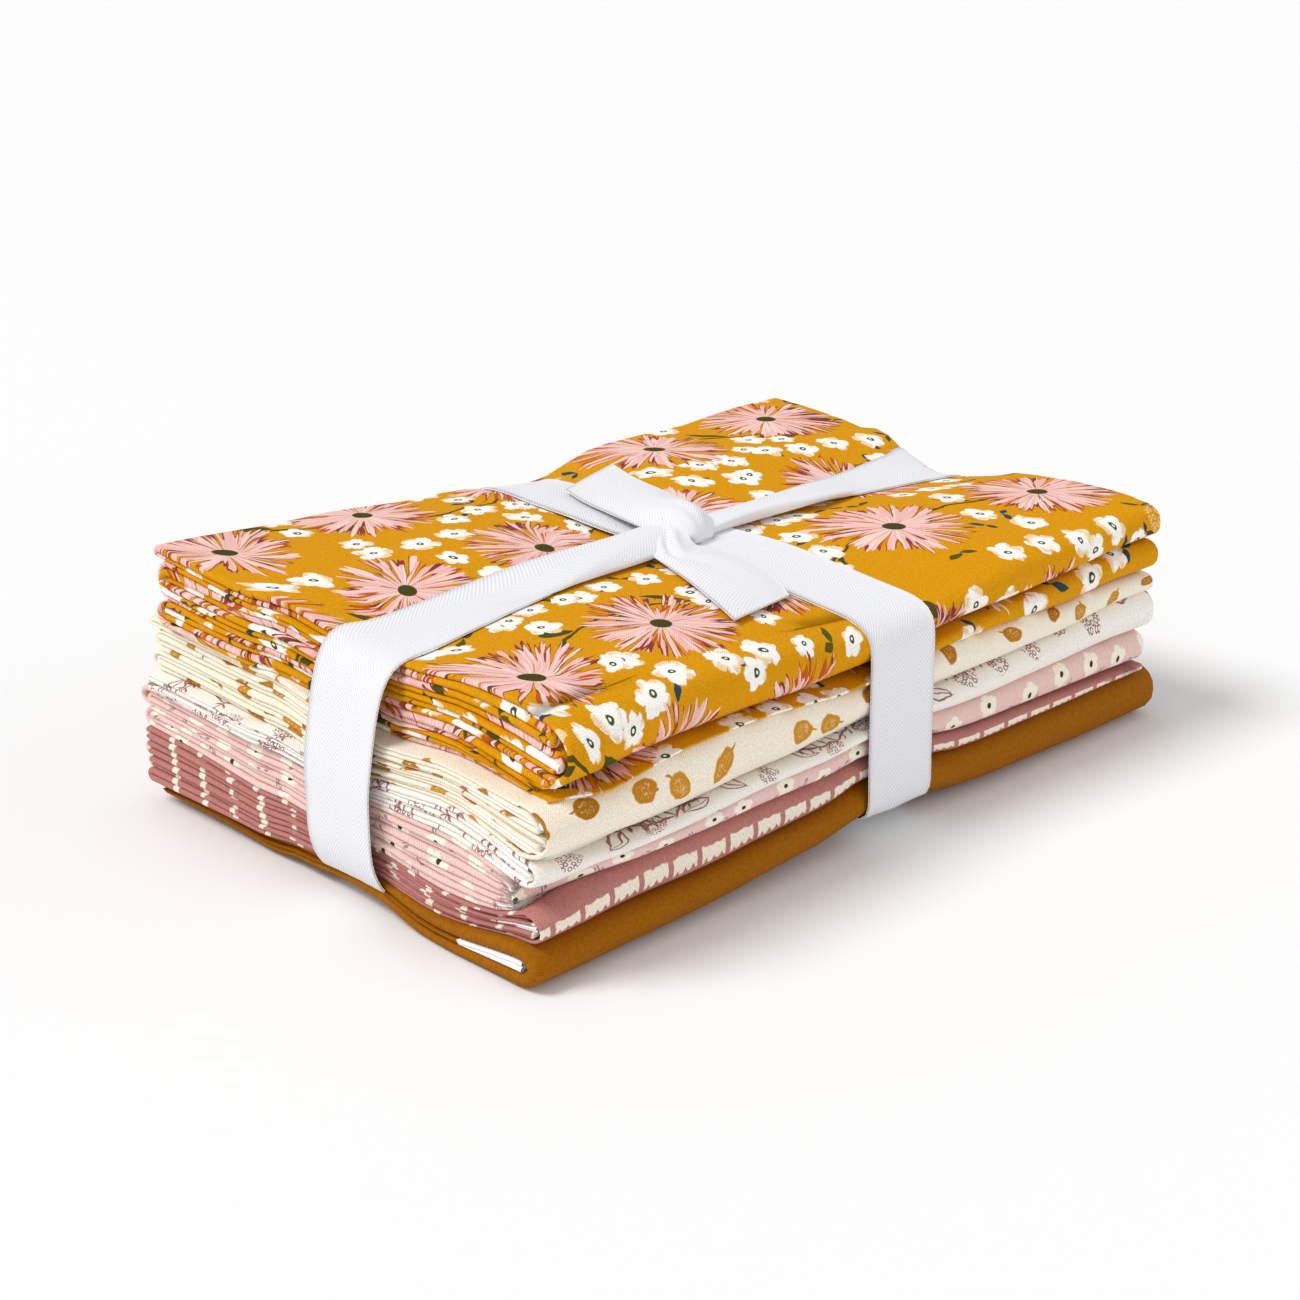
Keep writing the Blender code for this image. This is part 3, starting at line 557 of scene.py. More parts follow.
def folded_cut(cut_index):
    """One cut: a strip of plies, folded at its left tip and laid back and forth."""
    cut = CUTS[cut_index]
    stations = strip_stations(cut.order)
    beside_start, along_start = (apart * cut_index for apart in MAP_APART)
    points, faces, maps, ends = [], [], [], []
    for ply in range(cut.nested):
        rows = ply_rows(cut_index, stations, ply)
        count, across = rows.shape[:2]
        along = arc_lengths(np.swapaxes(rows, 0, 1))
        if cut_index == LOWER_WRAP_CUT:
            along = 0.5 * (along + along[::-1]).T
        else:
            steps = np.diff(along, axis=1, prepend=0)
            along = np.cumsum(np.median(np.maximum(steps, steps[::-1]), axis=0))
            if cut_index == DASHED_CUT:
                along = rows_on_folds(stations, along + along_start) - along_start
            along = np.broadcast_to(along[:, None], (count, across))
        beside = np.broadcast_to(np.median(arc_lengths(rows), axis=0), along.shape)
        faces.append(grid_faces(sum(len(p) for p in points), count, across))
        points.append(rows.reshape(-1, 3))
        grid = np.stack([beside + beside_start + PLY_MAP_APART * ply, along + along_start], -1)
        maps.append(grid.reshape(-1, 2))
        ends.append(np.minimum(along, along[-1] - along).ravel())
    made = make_mesh(cut.name + "_cloth", points, faces, maps, {"free_end": np.concatenate(ends)})
    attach(made, "root")
    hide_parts(cut.name)
    return made


# The ribbon: its cloth, then Y of its edges and folds by X on top of the stack, with how far each stands off
TAPE_THICK = 0.5
TAPE_LIE = 0.5
TAPE_WIDTH = 24
LANES = 13
TAPE_STEP = 2.5
BAND_MAP_APART = 900
CORE_MAP = (12, 4000)

FAR_EDGE = ((4, 1.5, 2.8), (14, 1.1, 2.5), (22, 1.7, 2), (33, 2.2, 1.5), (45, 3.4, 1), (58, 5.7, 0.8),
            (77, 9, 0.6), (91, 11, 0.5), (108, 13.6, 0.5), (119, 15.4, 0.5))
FAR_RIDGE = ((4, -10.2, 3.4), (13, -9.7, 4), (24, -9.4, 4.2), (34, -10.9, 4), (45, -12.6, 3.3),
             (60, -12, 2.2), (75, -10, 1.1), (89, -8.6, 0.6), (106, -8.2, 0.5), (119, -8.2, 0.5))
FAR_FOOT = ((4, -9, 1.4), (13, -8.9, 1.5), (22, -9.6, 1.5), (32, -11.4, 1.8), (44, -13.2, 2.2),
            (58, -12, 1.6), (70, -9.6, 0.5), (119, -7.6, 0.5))
FAR_TUCK = ((4, 0, 0.7), (24, -1, 0.7), (34, -3, 0.7), (45, -8, 0.9), (58, -10.6, 0.9),
            (70, -9.2, 0.5), (119, -7.4, 0.5))
NEAR_EDGE = ((-119, 3.6, 0.5), (-104, 1.2, 0.5), (-90, 1, 0.5), (-73, 2.2, 0.6), (-52, 3.7, 0.8),
             (-30, 5, 1.1), (-14, 5.5, 1.6), (-5, 5.1, 2.4))
NEAR_RIDGE = ((-119, -20.2, 0.5), (-99, -21.6, 0.5), (-80, -20, 0.6), (-64, -17.3, 1), (-51, -15.6, 2),
              (-42, -13.6, 3), (-28, -9.2, 4.2), (-11, -4.7, 5.6), (-5, -3.5, 6))
NEAR_FOOT = ((-119, -20.4, 0.5), (-99, -21.9, 0.5), (-80, -20.3, 0.5), (-64, -17.6, 0.7), (-51, -16.3, 1.2),
             (-35, -14.9, 1.2), (-20, -13.6, 1.6), (-5, -11.5, 2))
NEAR_TUCK = ((-119, -20.5, 0.5), (-64, -17.4, 0.5), (-51, -15.2, 0.7), (-35, -11, 0.7), (-20, -8, 0.8),
             (-5, -6, 0.8))
# X of the middle of the crosswise ribbon, by Y
CROSS_MIDDLE = ((-78, 7.7), (-70, 7), (-55, 5.2), (-30, 3.4), (-5, 1.8), (8, -1.6), (17, -2.8),
                (30, -2.4), (42, -2), (56, 0.6), (66, 3), (78, 4.5))

# The back tail and the roll of the knot, from its free end: X, Y, Z of five points across
BACK_PATCH = (
    ((-0.2, 40.8, 66.3), (6.2, 42.9, 66.2), (12.6, 44.9, 66.2), (19, 46.9, 66.1), (25.2, 48.9, 66)),
    ((-4.6, 29.2, 66.9), (1.3, 30.2, 67.3), (7.3, 31.2, 67.5), (13.3, 32.2, 67.4), (19.2, 33.2, 66.8)),
    ((-7.1, 17.4, 67.3), (-1.3, 17.4, 68.4), (4.6, 17.8, 69), (10.6, 18.6, 68.7), (16.2, 19.6, 67.3)),
    ((-8.4, 8.6, 67.3), (-3.6, 7.6, 69.4), (1.6, 7.2, 70.8), (7.4, 7, 70.3), (13.2, 6.8, 67.6)),
    ((-8.6, 2.4, 67), (-4.6, 1, 70.2), (0.6, -0.2, 72.3), (6.2, -0.8, 71.2), (11.6, -1.6, 66.9)),
    ((-7.9, -2.6, 67.2), (-4.6, -4.4, 70.5), (-0.2, -5.8, 72.2), (5, -6.2, 70.6), (9.4, -6.6, 66)),
    ((-6.3, -6.6, 67.8), (-4.4, -8.6, 69.7), (-1.2, -10.1, 70.2), (3.2, -9.8, 68.6), (6.7, -9.4, 65.2)),
    ((-5.4, -9.4, 66.9), (-4.6, -11.4, 67.2), (-2.3, -12.4, 67.2), (1.4, -11.8, 66), (4.2, -10.9, 64.6)),
    ((-5, -9.8, 65), (-4.2, -11.2, 64.8), (-2.3, -11.8, 64.7), (0.6, -11.2, 64.3), (3, -10.2, 63.9)),
)
# The strap of the knot and the front tail, to its free end
FRONT_PATCH = (
    ((-7.4, 3.2, 64.9), (-5.6, 1.6, 66.6), (-4, 0, 67.2), (-2.4, -2.4, 67.4), (-0.6, -5, 66.8)),
    ((-10.6, -2.4, 65.3), (-9.2, -4.2, 67.4), (-7.9, -5.9, 67.6), (-6.4, -7.8, 68.4), (-3.6, -9.4, 67.6)),
    ((-14.9, -7.4, 64.9), (-13.6, -9, 67), (-12.9, -11.6, 66.1), (-10.9, -13.4, 67.4), (-5.6, -13.2, 66)),
    ((-18.3, -12.3, 64.8), (-17.6, -14.8, 66), (-16, -17.4, 65.5), (-12.4, -18.2, 66.1), (-4.4, -15.6, 64.9)),
    ((-21.2, -20.4, 65.1), (-18.4, -22, 65.9), (-14.2, -23, 65.5), (-8.8, -22.6, 65.7), (-1.2, -20, 64.5)),
    ((-25.5, -32.2, 65.3), (-20.6, -33.8, 65.7), (-15.2, -35.2, 65.5), (-9.4, -36, 65.2),
     (-3.2, -36.2, 64.3)),
    ((-31.3, -46.2, 65.5), (-25.8, -46.2, 65.4), (-19.8, -46.4, 65), (-13.6, -46.6, 64.4),
     (-6.9, -46.4, 63.4)),
    ((-37.1, -59.2, 65.6), (-30.4, -57.4, 65), (-23.4, -55.5, 64.2), (-16.4, -53.6, 63.4),
     (-9.7, -51.8, 62.7)),
)
KNOT_CORE = ((-1.5, -3, 65.6), (9.5, 8, 4.3))

# The tables across the lengthwise ribbon and their places across it, and the heights it rises to by the knot
TAPE_SHARES = (0, 0.48, 0.72, 1)
FAR_TABLES = (FAR_EDGE, FAR_RIDGE, FAR_FOOT, FAR_TUCK)
NEAR_TABLES = (NEAR_EDGE, NEAR_RIDGE, NEAR_FOOT, NEAR_TUCK)
CROWN = 0.7
KNOT_LIE = 0.75
HANG_LESS = 0.45
HANG_MORE = 0.75
HANG_MORE_Y = (-34, -16)
KNOT_LIE_Y = (14, 40)
FOLD_TO_FLAT_X = (48, 88)
PLEAT_DEPTH = 0.42
PLEAT_SPREAD = 0.2
# Where the loops have points: X of the lengthwise one and Y of the crosswise one
FAR_X = np.linspace(5, 105, 41)
FAR_END_X = 118.5
FOOT_X = np.linspace(104, -104, 27)
NEAR_X = np.linspace(-105, -6, 41)
FRONT_Y = np.linspace(-2, -56, 21)
EDGE_Y = 78
FOOT_Y = np.linspace(-64, 64, 20)
BACK_Y = np.linspace(58, 4, 21)
# The ribbon's way round an edge, as pairs: how far out, and how far below the top or above the foot
CORNER_ROOM = 15
END_REACH = (117.7, 119.1)
END_SWELL = 3.5
SWELL_BELOW = (8, 30)
SWELL_ABOVE = (0, 14)
END_CORNER = ((-12, -0.5), (-7.8, -0.6), (-5.2, 0.3), (-2.9, 3), (-1.1, 7), (-0.1, 12), (0, 16), (0, 30))
FRONT_REACH = 75.2
BACK_REACH = 76.6
BACK_CORNER = ((-14, -0.5), (-9, -0.2), (-7.2, 1.4), (-6, 4), (-3, 15), (-1, 28), (0, 36))
LOWER_CORNER = ((0, 12), (0, 7), (-0.8, 3), (-3, 0.6), (-8, -0.45))
FULL_CORNER = ((0.2, 12), (0.5, 6), (0.5, 2.6), (0, 0.7), (-2.4, -0.2), (-8, -0.5))


def table_value(rows, where, column):
    return np.interp(where, [row[0] for row in rows], [row[column] for row in rows])


def smoothed(values, passes):
    """Moving mean along the first axis, with both ends kept."""
    values = np.array(values, float)
    for _ in range(passes):
        values[1:-1] = 0.25 * values[:-2] + 0.5 * values[1:-1] + 0.25 * values[2:]
    return values


def curve_through(points, count):
    """Catmull-Rom curve along the first axis of an array, read at even steps of its rows."""
    points = np.asarray(points, float)
    ends = [2 * points[0] - points[1]], points, [2 * points[-1] - points[-2]]
    padded = np.concatenate([np.asarray(part) for part in ends])
    where = np.linspace(0, len(points) - 1, count)
    low = np.minimum(where.astype(int), len(points) - 2)
    t = (where - low).reshape((-1,) + (1,) * (points.ndim - 1))
    p0, p1, p2, p3 = padded[low], padded[low + 1], padded[low + 2], padded[low + 3]
    return 0.5 * (2 * p1 + (p2 - p0) * t + (2 * p0 - 5 * p1 + 4 * p2 - p3) * t ** 2
                  + (3 * p1 - p0 - 3 * p2 + p3) * t ** 3)


def even_points(path, count):
    """A number of points at even steps along a line of points."""
    run = arc_lengths(path)
    where = np.linspace(0, run[-1], count)
    return np.stack([np.interp(where, run, column) for column in path.T], 1)


def even_steps(path, step):
    """Points at about one distance along a line of points."""
    path = np.asarray(path, float)
    return even_points(path, max(3, int(round(arc_lengths(path)[-1] / step)) + 1))


def grid_normals(grid):
    normals = np.cross(np.gradient(grid, axis=0), np.gradient(grid, axis=1))
    return normals / np.maximum(np.linalg.norm(normals, axis=2)[:, :, None], 1e-9)


def thick_band(rows, thick):
    """Points and faces of a closed band round a grid of middle points, with map places from lengths."""
    rows = np.asarray(rows, float)
    count, across = rows.shape[:2]
    off = grid_normals(rows) * thick / 2
    along = np.median(arc_lengths(np.swapaxes(rows, 0, 1)), axis=0)
    beside = np.median(arc_lengths(rows), axis=0)
    grid = np.stack(np.meshgrid(beside, along), -1)
    points = np.concatenate([(rows + off).reshape(-1, 3), (rows - off).reshape(-1, 3)])
    maps = np.concatenate([grid.reshape(-1, 2), grid.reshape(-1, 2)])
    index = np.arange(count * across).reshape(count, across)
    rim = np.concatenate([index[0, :], index[1:, -1], index[-1, :-1][::-1], index[1:-1, 0][::-1]])
    after = np.roll(rim, -1)
    top = grid_faces(0, count, across)
    bottom = grid_faces(count * across, count, across)[:, ::-1]
    side = np.stack([rim, rim + count * across, after + count * across, after], -1)
    return points, np.concatenate([top, bottom, side]), maps


def lie(x, y, rise=0):
    """Height above the surface of a place that rises over the top of the stack."""
    x = np.clip(x, -HALF_LENGTH, HALF_LENGTH)
    y = np.clip(y, -HALF_WIDTH, HALF_WIDTH)
    return float(seam_height(len(CUTS), x, y)) + rise


def folded_tape(tables, x, share):
    """X, Y and rise of the lengthwise ribbon on the stack: folded near the knot and flat towards an end."""
    ys, rises = (np.array([table_value(table, x, column) for table in tables]) for column in (1, 2))
    flat = ramp(np.abs(x), *FOLD_TO_FLAT_X)
    y_even = ys[0] + (ys[2] - ys[0]) * share
    y_fold, rise_fold = (np.array([np.interp(share, TAPE_SHARES, across) for across in values.T])
                         for values in (ys, rises))
    crown = CROWN * np.sin(math.pi * min(1, share / TAPE_SHARES[1])) * (1 - flat)
    return list(zip(x, mix(y_fold, y_even, flat), mix(rise_fold + crown, TAPE_LIE, flat)))


def lengthwise_lane(share):
    """Middle line of the lengthwise loop at one place across it, from the knot round by the far end."""
    line = [(x, y, lie(x, y, rise)) for x, y, rise in folded_tape(FAR_TABLES, FAR_X, share)]
    y_far = folded_tape(FAR_TABLES, np.array([FAR_END_X]), share)[0][1]
    y_near = folded_tape(NEAR_TABLES, np.array([-FAR_END_X]), share)[0][1]
    for side, y, reach, lower in ((1, y_far, END_REACH[1], FULL_CORNER),
                                  (-1, y_near, END_REACH[0], LOWER_CORNER)):
        top = lie(side * HALF_LENGTH, y)
        foot = foot_height(side * HALF_LENGTH, y)
        swell = END_SWELL if side < 0 else 0
        part = []
        for out, depth in END_CORNER:
            if top - depth > foot + CORNER_ROOM:
                x = side * (reach + out + swell * ramp(depth, *SWELL_BELOW))
                part.append((x, y, (lie(x, y) if out < -4 else top) - depth))
        part.extend((side * (reach + out + swell * ramp(rise, *SWELL_ABOVE)), y, foot + rise)
                    for out, rise in lower)
        line.extend(part if side > 0 else part[::-1])
        if side > 0:
            for x_foot in FOOT_X:
                y_foot = mix(y_near, y_far, (x_foot + HALF_LENGTH) / (2 * HALF_LENGTH))
                line.append((x_foot, y_foot, foot_height(x_foot, y_foot) - HANG_LESS))
    line.extend((x, y, lie(x, y, rise)) for x, y, rise in folded_tape(NEAR_TABLES, NEAR_X, share))
    return smoothed(even_steps(line, TAPE_STEP), 2)


def outer_wrap(x):
    """Y and Z of the ribbon on the top cut's outer front wrap, from its top to its widest place."""
    found = []
    for angle in np.linspace(0.46 * math.pi, 0, 8):
        station = Station("fold", -1, LOWER_WRAP_LEVELS, len(CUTS[-1].order) - 1, angle, 0)
        y, z, face_y, face_z, half = (float(v) for v in place_fold(len(CUTS) - 1, station, np.array(x)))
        out = (-1 if face_y > 0 else 1) * (half + TAPE_LIE)
        found.append((y + face_y * out, z + face_z * out))
    return found


def crosswise_lane(share):
    """Middle line of the crosswise loop at one place across it, from the knot round by the front."""
    off = TAPE_WIDTH * (share - 0.5)

    def on_top(y):
        x = table_value(CROSS_MIDDLE, y, 1) + off
        return x, y, lie(x, y, mix(TAPE_LIE + KNOT_LIE, TAPE_LIE, ramp(abs(y), *KNOT_LIE_Y)))

    line = [on_top(y) for y in FRONT_Y]
    x = table_value(CROSS_MIDDLE, -EDGE_Y, 1) + off
    foot = foot_height(x, -HALF_WIDTH)
    line.extend((x, y, z) for y, z in outer_wrap(x))
    line.extend((x, -(FRONT_REACH + out), foot + rise) for out, rise in FULL_CORNER)
    for y in FOOT_Y:
        x = foot_x(y) + off
        line.append((x, y, foot_height(x, y) - HANG_LESS - HANG_MORE * ramp(-abs(y), *HANG_MORE_Y)))
    x = table_value(CROSS_MIDDLE, EDGE_Y, 1) + off
    foot = foot_height(x, HALF_WIDTH)
    top = lie(x, HALF_WIDTH - 3)
    line.extend((x, BACK_REACH + out, foot + rise) for out, rise in LOWER_CORNER[::-1])
    for out, depth in BACK_CORNER[::-1]:
        if top - depth > foot + CORNER_ROOM:
            y = BACK_REACH + out
            x = table_value(CROSS_MIDDLE, y, 1) + off
            line.append((x, y, (lie(x, y) if out < -6 else top) - depth))
    line.extend(on_top(y) for y in BACK_Y)
    return smoothed(even_steps(line, TAPE_STEP), 2)


def loop_band(lane):
    """Grid of the middle points of a loop, all lanes with as many rows, none below the surface."""
    lines = [lane(share) for share in np.linspace(0, 1, LANES)]
    count = max(len(line) for line in lines)
    rows = np.stack([even_points(line, count) for line in lines], 1)
    rows[:, :, 2] = np.maximum(rows[:, :, 2], 0.6 * TAPE_THICK)
    return rows


def patch_band(patch, rows, across, pleats, where):
    """Grid through a table of points, with soft pleats that run along it near the knot."""
    grid = curve_through(np.array(patch), rows)
    grid = np.swapaxes(curve_through(np.swapaxes(grid, 0, 1), across), 0, 1)
    v = np.linspace(0, 1, rows)[:, None]
    u = np.linspace(0, 1, across)[None, :]
    depth = np.exp(-((v - where) / PLEAT_SPREAD) ** 2)
    wave = np.sin(2 * math.pi * pleats * (u + 0.06 * np.sin(5 * v))) * (0.7 + 0.3 * np.sin(9 * u + 4 * v))
    return grid + grid_normals(grid) * (PLEAT_DEPTH * depth * wave)[:, :, None]


def knot_core():
    """A small lump that the turns of the knot lie round."""
    (x, y, z), (long, wide, high) = KNOT_CORE
    tilt = np.linspace(-0.5 * math.pi, 0.5 * math.pi, 9)[:, None]
    turn = np.linspace(0, 2 * math.pi, 17)
    return np.stack([x + long * np.cos(tilt) * np.cos(turn), y + wide * np.cos(tilt) * np.sin(turn),
                     z + high * np.sin(tilt) + 0 * turn], -1)


def tied_ribbon():
    """The ribbon: both loops, the knot and its free ends, in one piece."""
    bands = (
        loop_band(lengthwise_lane),
        loop_band(crosswise_lane),
        patch_band(BACK_PATCH, 41, 25, 3.5, 0.62),
        patch_band(FRONT_PATCH, 41, 25, 3, 0.28),
    )
    points, faces, maps = [], [], []
    start = 0
    for number, band in enumerate(bands):
        made_points, made_faces, made_maps = thick_band(band, TAPE_THICK)
        points.append(made_points)
        faces.append(made_faces + start)
        maps.append(made_maps + np.array([0, BAND_MAP_APART * number]))
        start += len(made_points)
    core = knot_core()
    points.append(core.reshape(-1, 3))
    faces.append(grid_faces(start, *core.shape[:2]))
    maps.append(core.reshape(-1, 3)[:, :2] + CORE_MAP)
    made = make_mesh("ribbon_cloth", points, faces, maps)
    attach(made, "root")
    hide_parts("ribbon_tie")
    return made


# Looks: a small helper for node trees, motifs on the cloth's own map in millimetres, and the prints
TURN = 6.2832
WEAVE_PITCH = 0.7
TWILL_PITCH = 0.95


class Graph:
    """Adds nodes to a tree; a number, a tuple or a socket can be the input of each."""

    def __init__(self, tree):
        self.tree = tree

    def put(self, socket, value):
        if isinstance(value, bpy.types.NodeSocket):
            self.tree.links.new(value, socket)
        elif isinstance(value, (tuple, list)) and len(value) == 3 and socket.type == "RGBA":
            socket.default_value = (*value, 1)
        else:
            socket.default_value = value

    def node(self, kind, out=0, settings=None, **inputs):
        """A node's output; inputs go by their name, or by i and their number."""
        made = self.tree.nodes.new(kind)
        for key, value in (settings or {}).items():
            setattr(made, key, value)
        for key, value in inputs.items():
            self.put(made.inputs[int(key[1:]) if key[0] == "i" and key[1:].isdigit() else key], value)
        return made.outputs[out]

    def math(self, operation, a, b=0, c=0):
        return self.node("ShaderNodeMath", settings={"operation": operation}, i0=a, i1=b, i2=c)

    plus = partialmethod(math, "ADD")
    minus = partialmethod(math, "SUBTRACT")
    times = partialmethod(math, "MULTIPLY")
    times_plus = partialmethod(math, "MULTIPLY_ADD")
    over = partialmethod(math, "DIVIDE")
    most = partialmethod(math, "MAXIMUM")
    size = partialmethod(math, "ABSOLUTE")
    floor = partialmethod(math, "FLOOR")

    def vector(self, operation, a, b=(0, 0, 0), out=0):
        return self.node("ShaderNodeVectorMath", out, {"operation": operation}, i0=a, i1=b)

    def length(self, vector):
        return self.vector("LENGTH", vector, out=1)

    def scale(self, a, factor):
        return self.node("ShaderNodeVectorMath", 0, {"operation": "SCALE"}, i0=a, Scale=factor)

    def turn(self, vector, angle):
        return self.node("ShaderNodeVectorRotate", 0, {"rotation_type": "Z_AXIS"}, Vector=vector, Angle=angle)

    def parts(self, vector):
        return self.node("ShaderNodeSeparateXYZ", i0=vector).node.outputs

    def join(self, x, y, z=0):
        return self.node("ShaderNodeCombineXYZ", i0=x, i1=y, i2=z)

    def blend(self, factor, a, b):
        return self.node("ShaderNodeMix", 2, {"data_type": "RGBA"}, i0=factor, i6=a, i7=b)

    def step(self, value, low, high):
        """Soft step: 0 below low and 1 above high, or the other way round where low is the larger."""
        first, last = (1, 0) if low > high else (0, 1)
        return self.node("ShaderNodeMapRange", 0, {"interpolation_type": "SMOOTHSTEP"}, i0=value,
                         i1=min(low, high), i2=max(low, high), i3=first, i4=last)

    def noise(self, where, scale, detail=1, out="Fac"):
        return self.node("ShaderNodeTexNoise", out, {"noise_dimensions": "2D"}, Vector=where, Scale=scale,
                         Detail=detail)

    def bent(self, where, scale, detail, reach):
        """The map, pushed a little to all sides."""
        wobble = self.noise(where, scale, detail, "Color")
        return self.vector("ADD", where, self.scale(self.vector("SUBTRACT", wobble, (0.5, 0.5, 0.5)), reach))

    def cells(self, where, scale, randomness):
        return self.node("ShaderNodeTexVoronoi", 0, {"voronoi_dimensions": "2D"}, Vector=where, Scale=scale,
                         Randomness=randomness)

    def random(self, where):
        return self.node("ShaderNodeTexWhiteNoise", "Color", {"noise_dimensions": "3D"}, Vector=where)


Spot = namedtuple("Spot", "local centre dice")


def scatter(g, where, pitch, jitter, seed):
    """Cells of a brick grid in millimetres, each with a motif off its middle that is turned at random."""
    cells = g.parts(g.scale(where, 1 / pitch))
    row = g.floor(cells[1])
    shifted = g.plus(cells[0], g.times(g.math("FLOORED_MODULO", row, 2), 0.5))
    column = g.floor(shifted)
    dice = g.random(g.join(column, row, seed))
    rolled = g.parts(dice)
    off_x = g.times_plus(g.minus(rolled[0], 0.5), jitter, g.plus(column, 0.5))
    off_y = g.times_plus(g.minus(rolled[1], 0.5), jitter, g.plus(row, 0.5))
    local = g.scale(g.join(g.minus(shifted, off_x), g.minus(cells[1], off_y)), pitch)
    centre = g.vector("SUBTRACT", where, local)
    return Spot(g.turn(local, g.times(rolled[2], TURN)), centre, dice)


def polar(g, local):
    x, y = g.parts(local)[:2]
    return g.length(local), g.math("ARCTAN2", y, x)


def petal_edge(g, angle, petals, radius, depth, phase=0):
    """Distance of a flower's edge from its middle, with round petals."""
    wave = g.size(g.math("COSINE", g.times_plus(angle, petals / 2, phase)))
    return g.times_plus(g.math("POWER", wave, 0.55), radius * depth, radius * (1 - depth))


def inside(g, distance, edge, soft=0.25):
    """1 where distance is less than edge."""
    return g.step(g.minus(distance, edge), soft, -soft)


def oval(g, local, x, y, half_long, half_wide):
    """1 in an ellipse about a place in the motif's own frame."""
    moved = g.vector("SUBTRACT", local, (x, y, 0))
    squeezed = g.vector("MULTIPLY", moved, (1 / half_long, 1 / half_wide, 0))
    return g.step(g.length(squeezed), 1.08, 0.92)


def leaf(g, local, x, y, half_long, half_wide, turn=0):
    """1 in a pointed leaf about a place in the motif's own frame."""
    moved = g.vector("SUBTRACT", local, (x, y, 0))
    if turn:
        moved = g.turn(moved, turn)
    a, b = g.parts(moved)[:2]
    taper = g.minus(1, g.math("POWER", g.over(g.size(a), half_long), 1.7))
    width = g.times(g.most(taper, 0), half_wide)
    return g.step(g.minus(g.size(b), width), 0.12, -0.16)


def clear_of(g, centre, pitch, jitter, seed, reach):
    """1 where a small motif's middle is clear of the larger ones of another scatter."""
    spot = scatter(g, centre, pitch, jitter, seed)
    return g.step(g.length(spot.local), reach - 0.01, reach + 0.01)


def line_at(g, value, level, half):
    """1 on a contour line of a smooth value."""
    return g.step(g.size(g.minus(value, level)), half, half * 0.55)


def wavy_stem(g, where, pitch, reach, length, half):
    """1 on wavy stems that run along the cloth, the place along them, and the distance off the nearest."""
    x, y = g.parts(where)[:2]
    row = g.floor(g.over(y, pitch))
    phase = g.times(row, 2.3)
    turn = g.times_plus(x, TURN / length, phase)
    middle = g.times_plus(g.math("SINE", turn), reach, g.times(g.plus(row, 0.5), pitch))
    slope = g.times(g.math("COSINE", turn), reach * TURN / length)
    off = g.over(g.minus(y, middle), g.math("SQRT", g.times_plus(slope, slope, 1)))
    return g.step(g.size(off), half + 0.12, half - 0.12), g.plus(x, g.times(row, 17)), off


DAISIES = (50, 0.24, 1)
BLOSSOMS = (17.5, 0.3, 2)


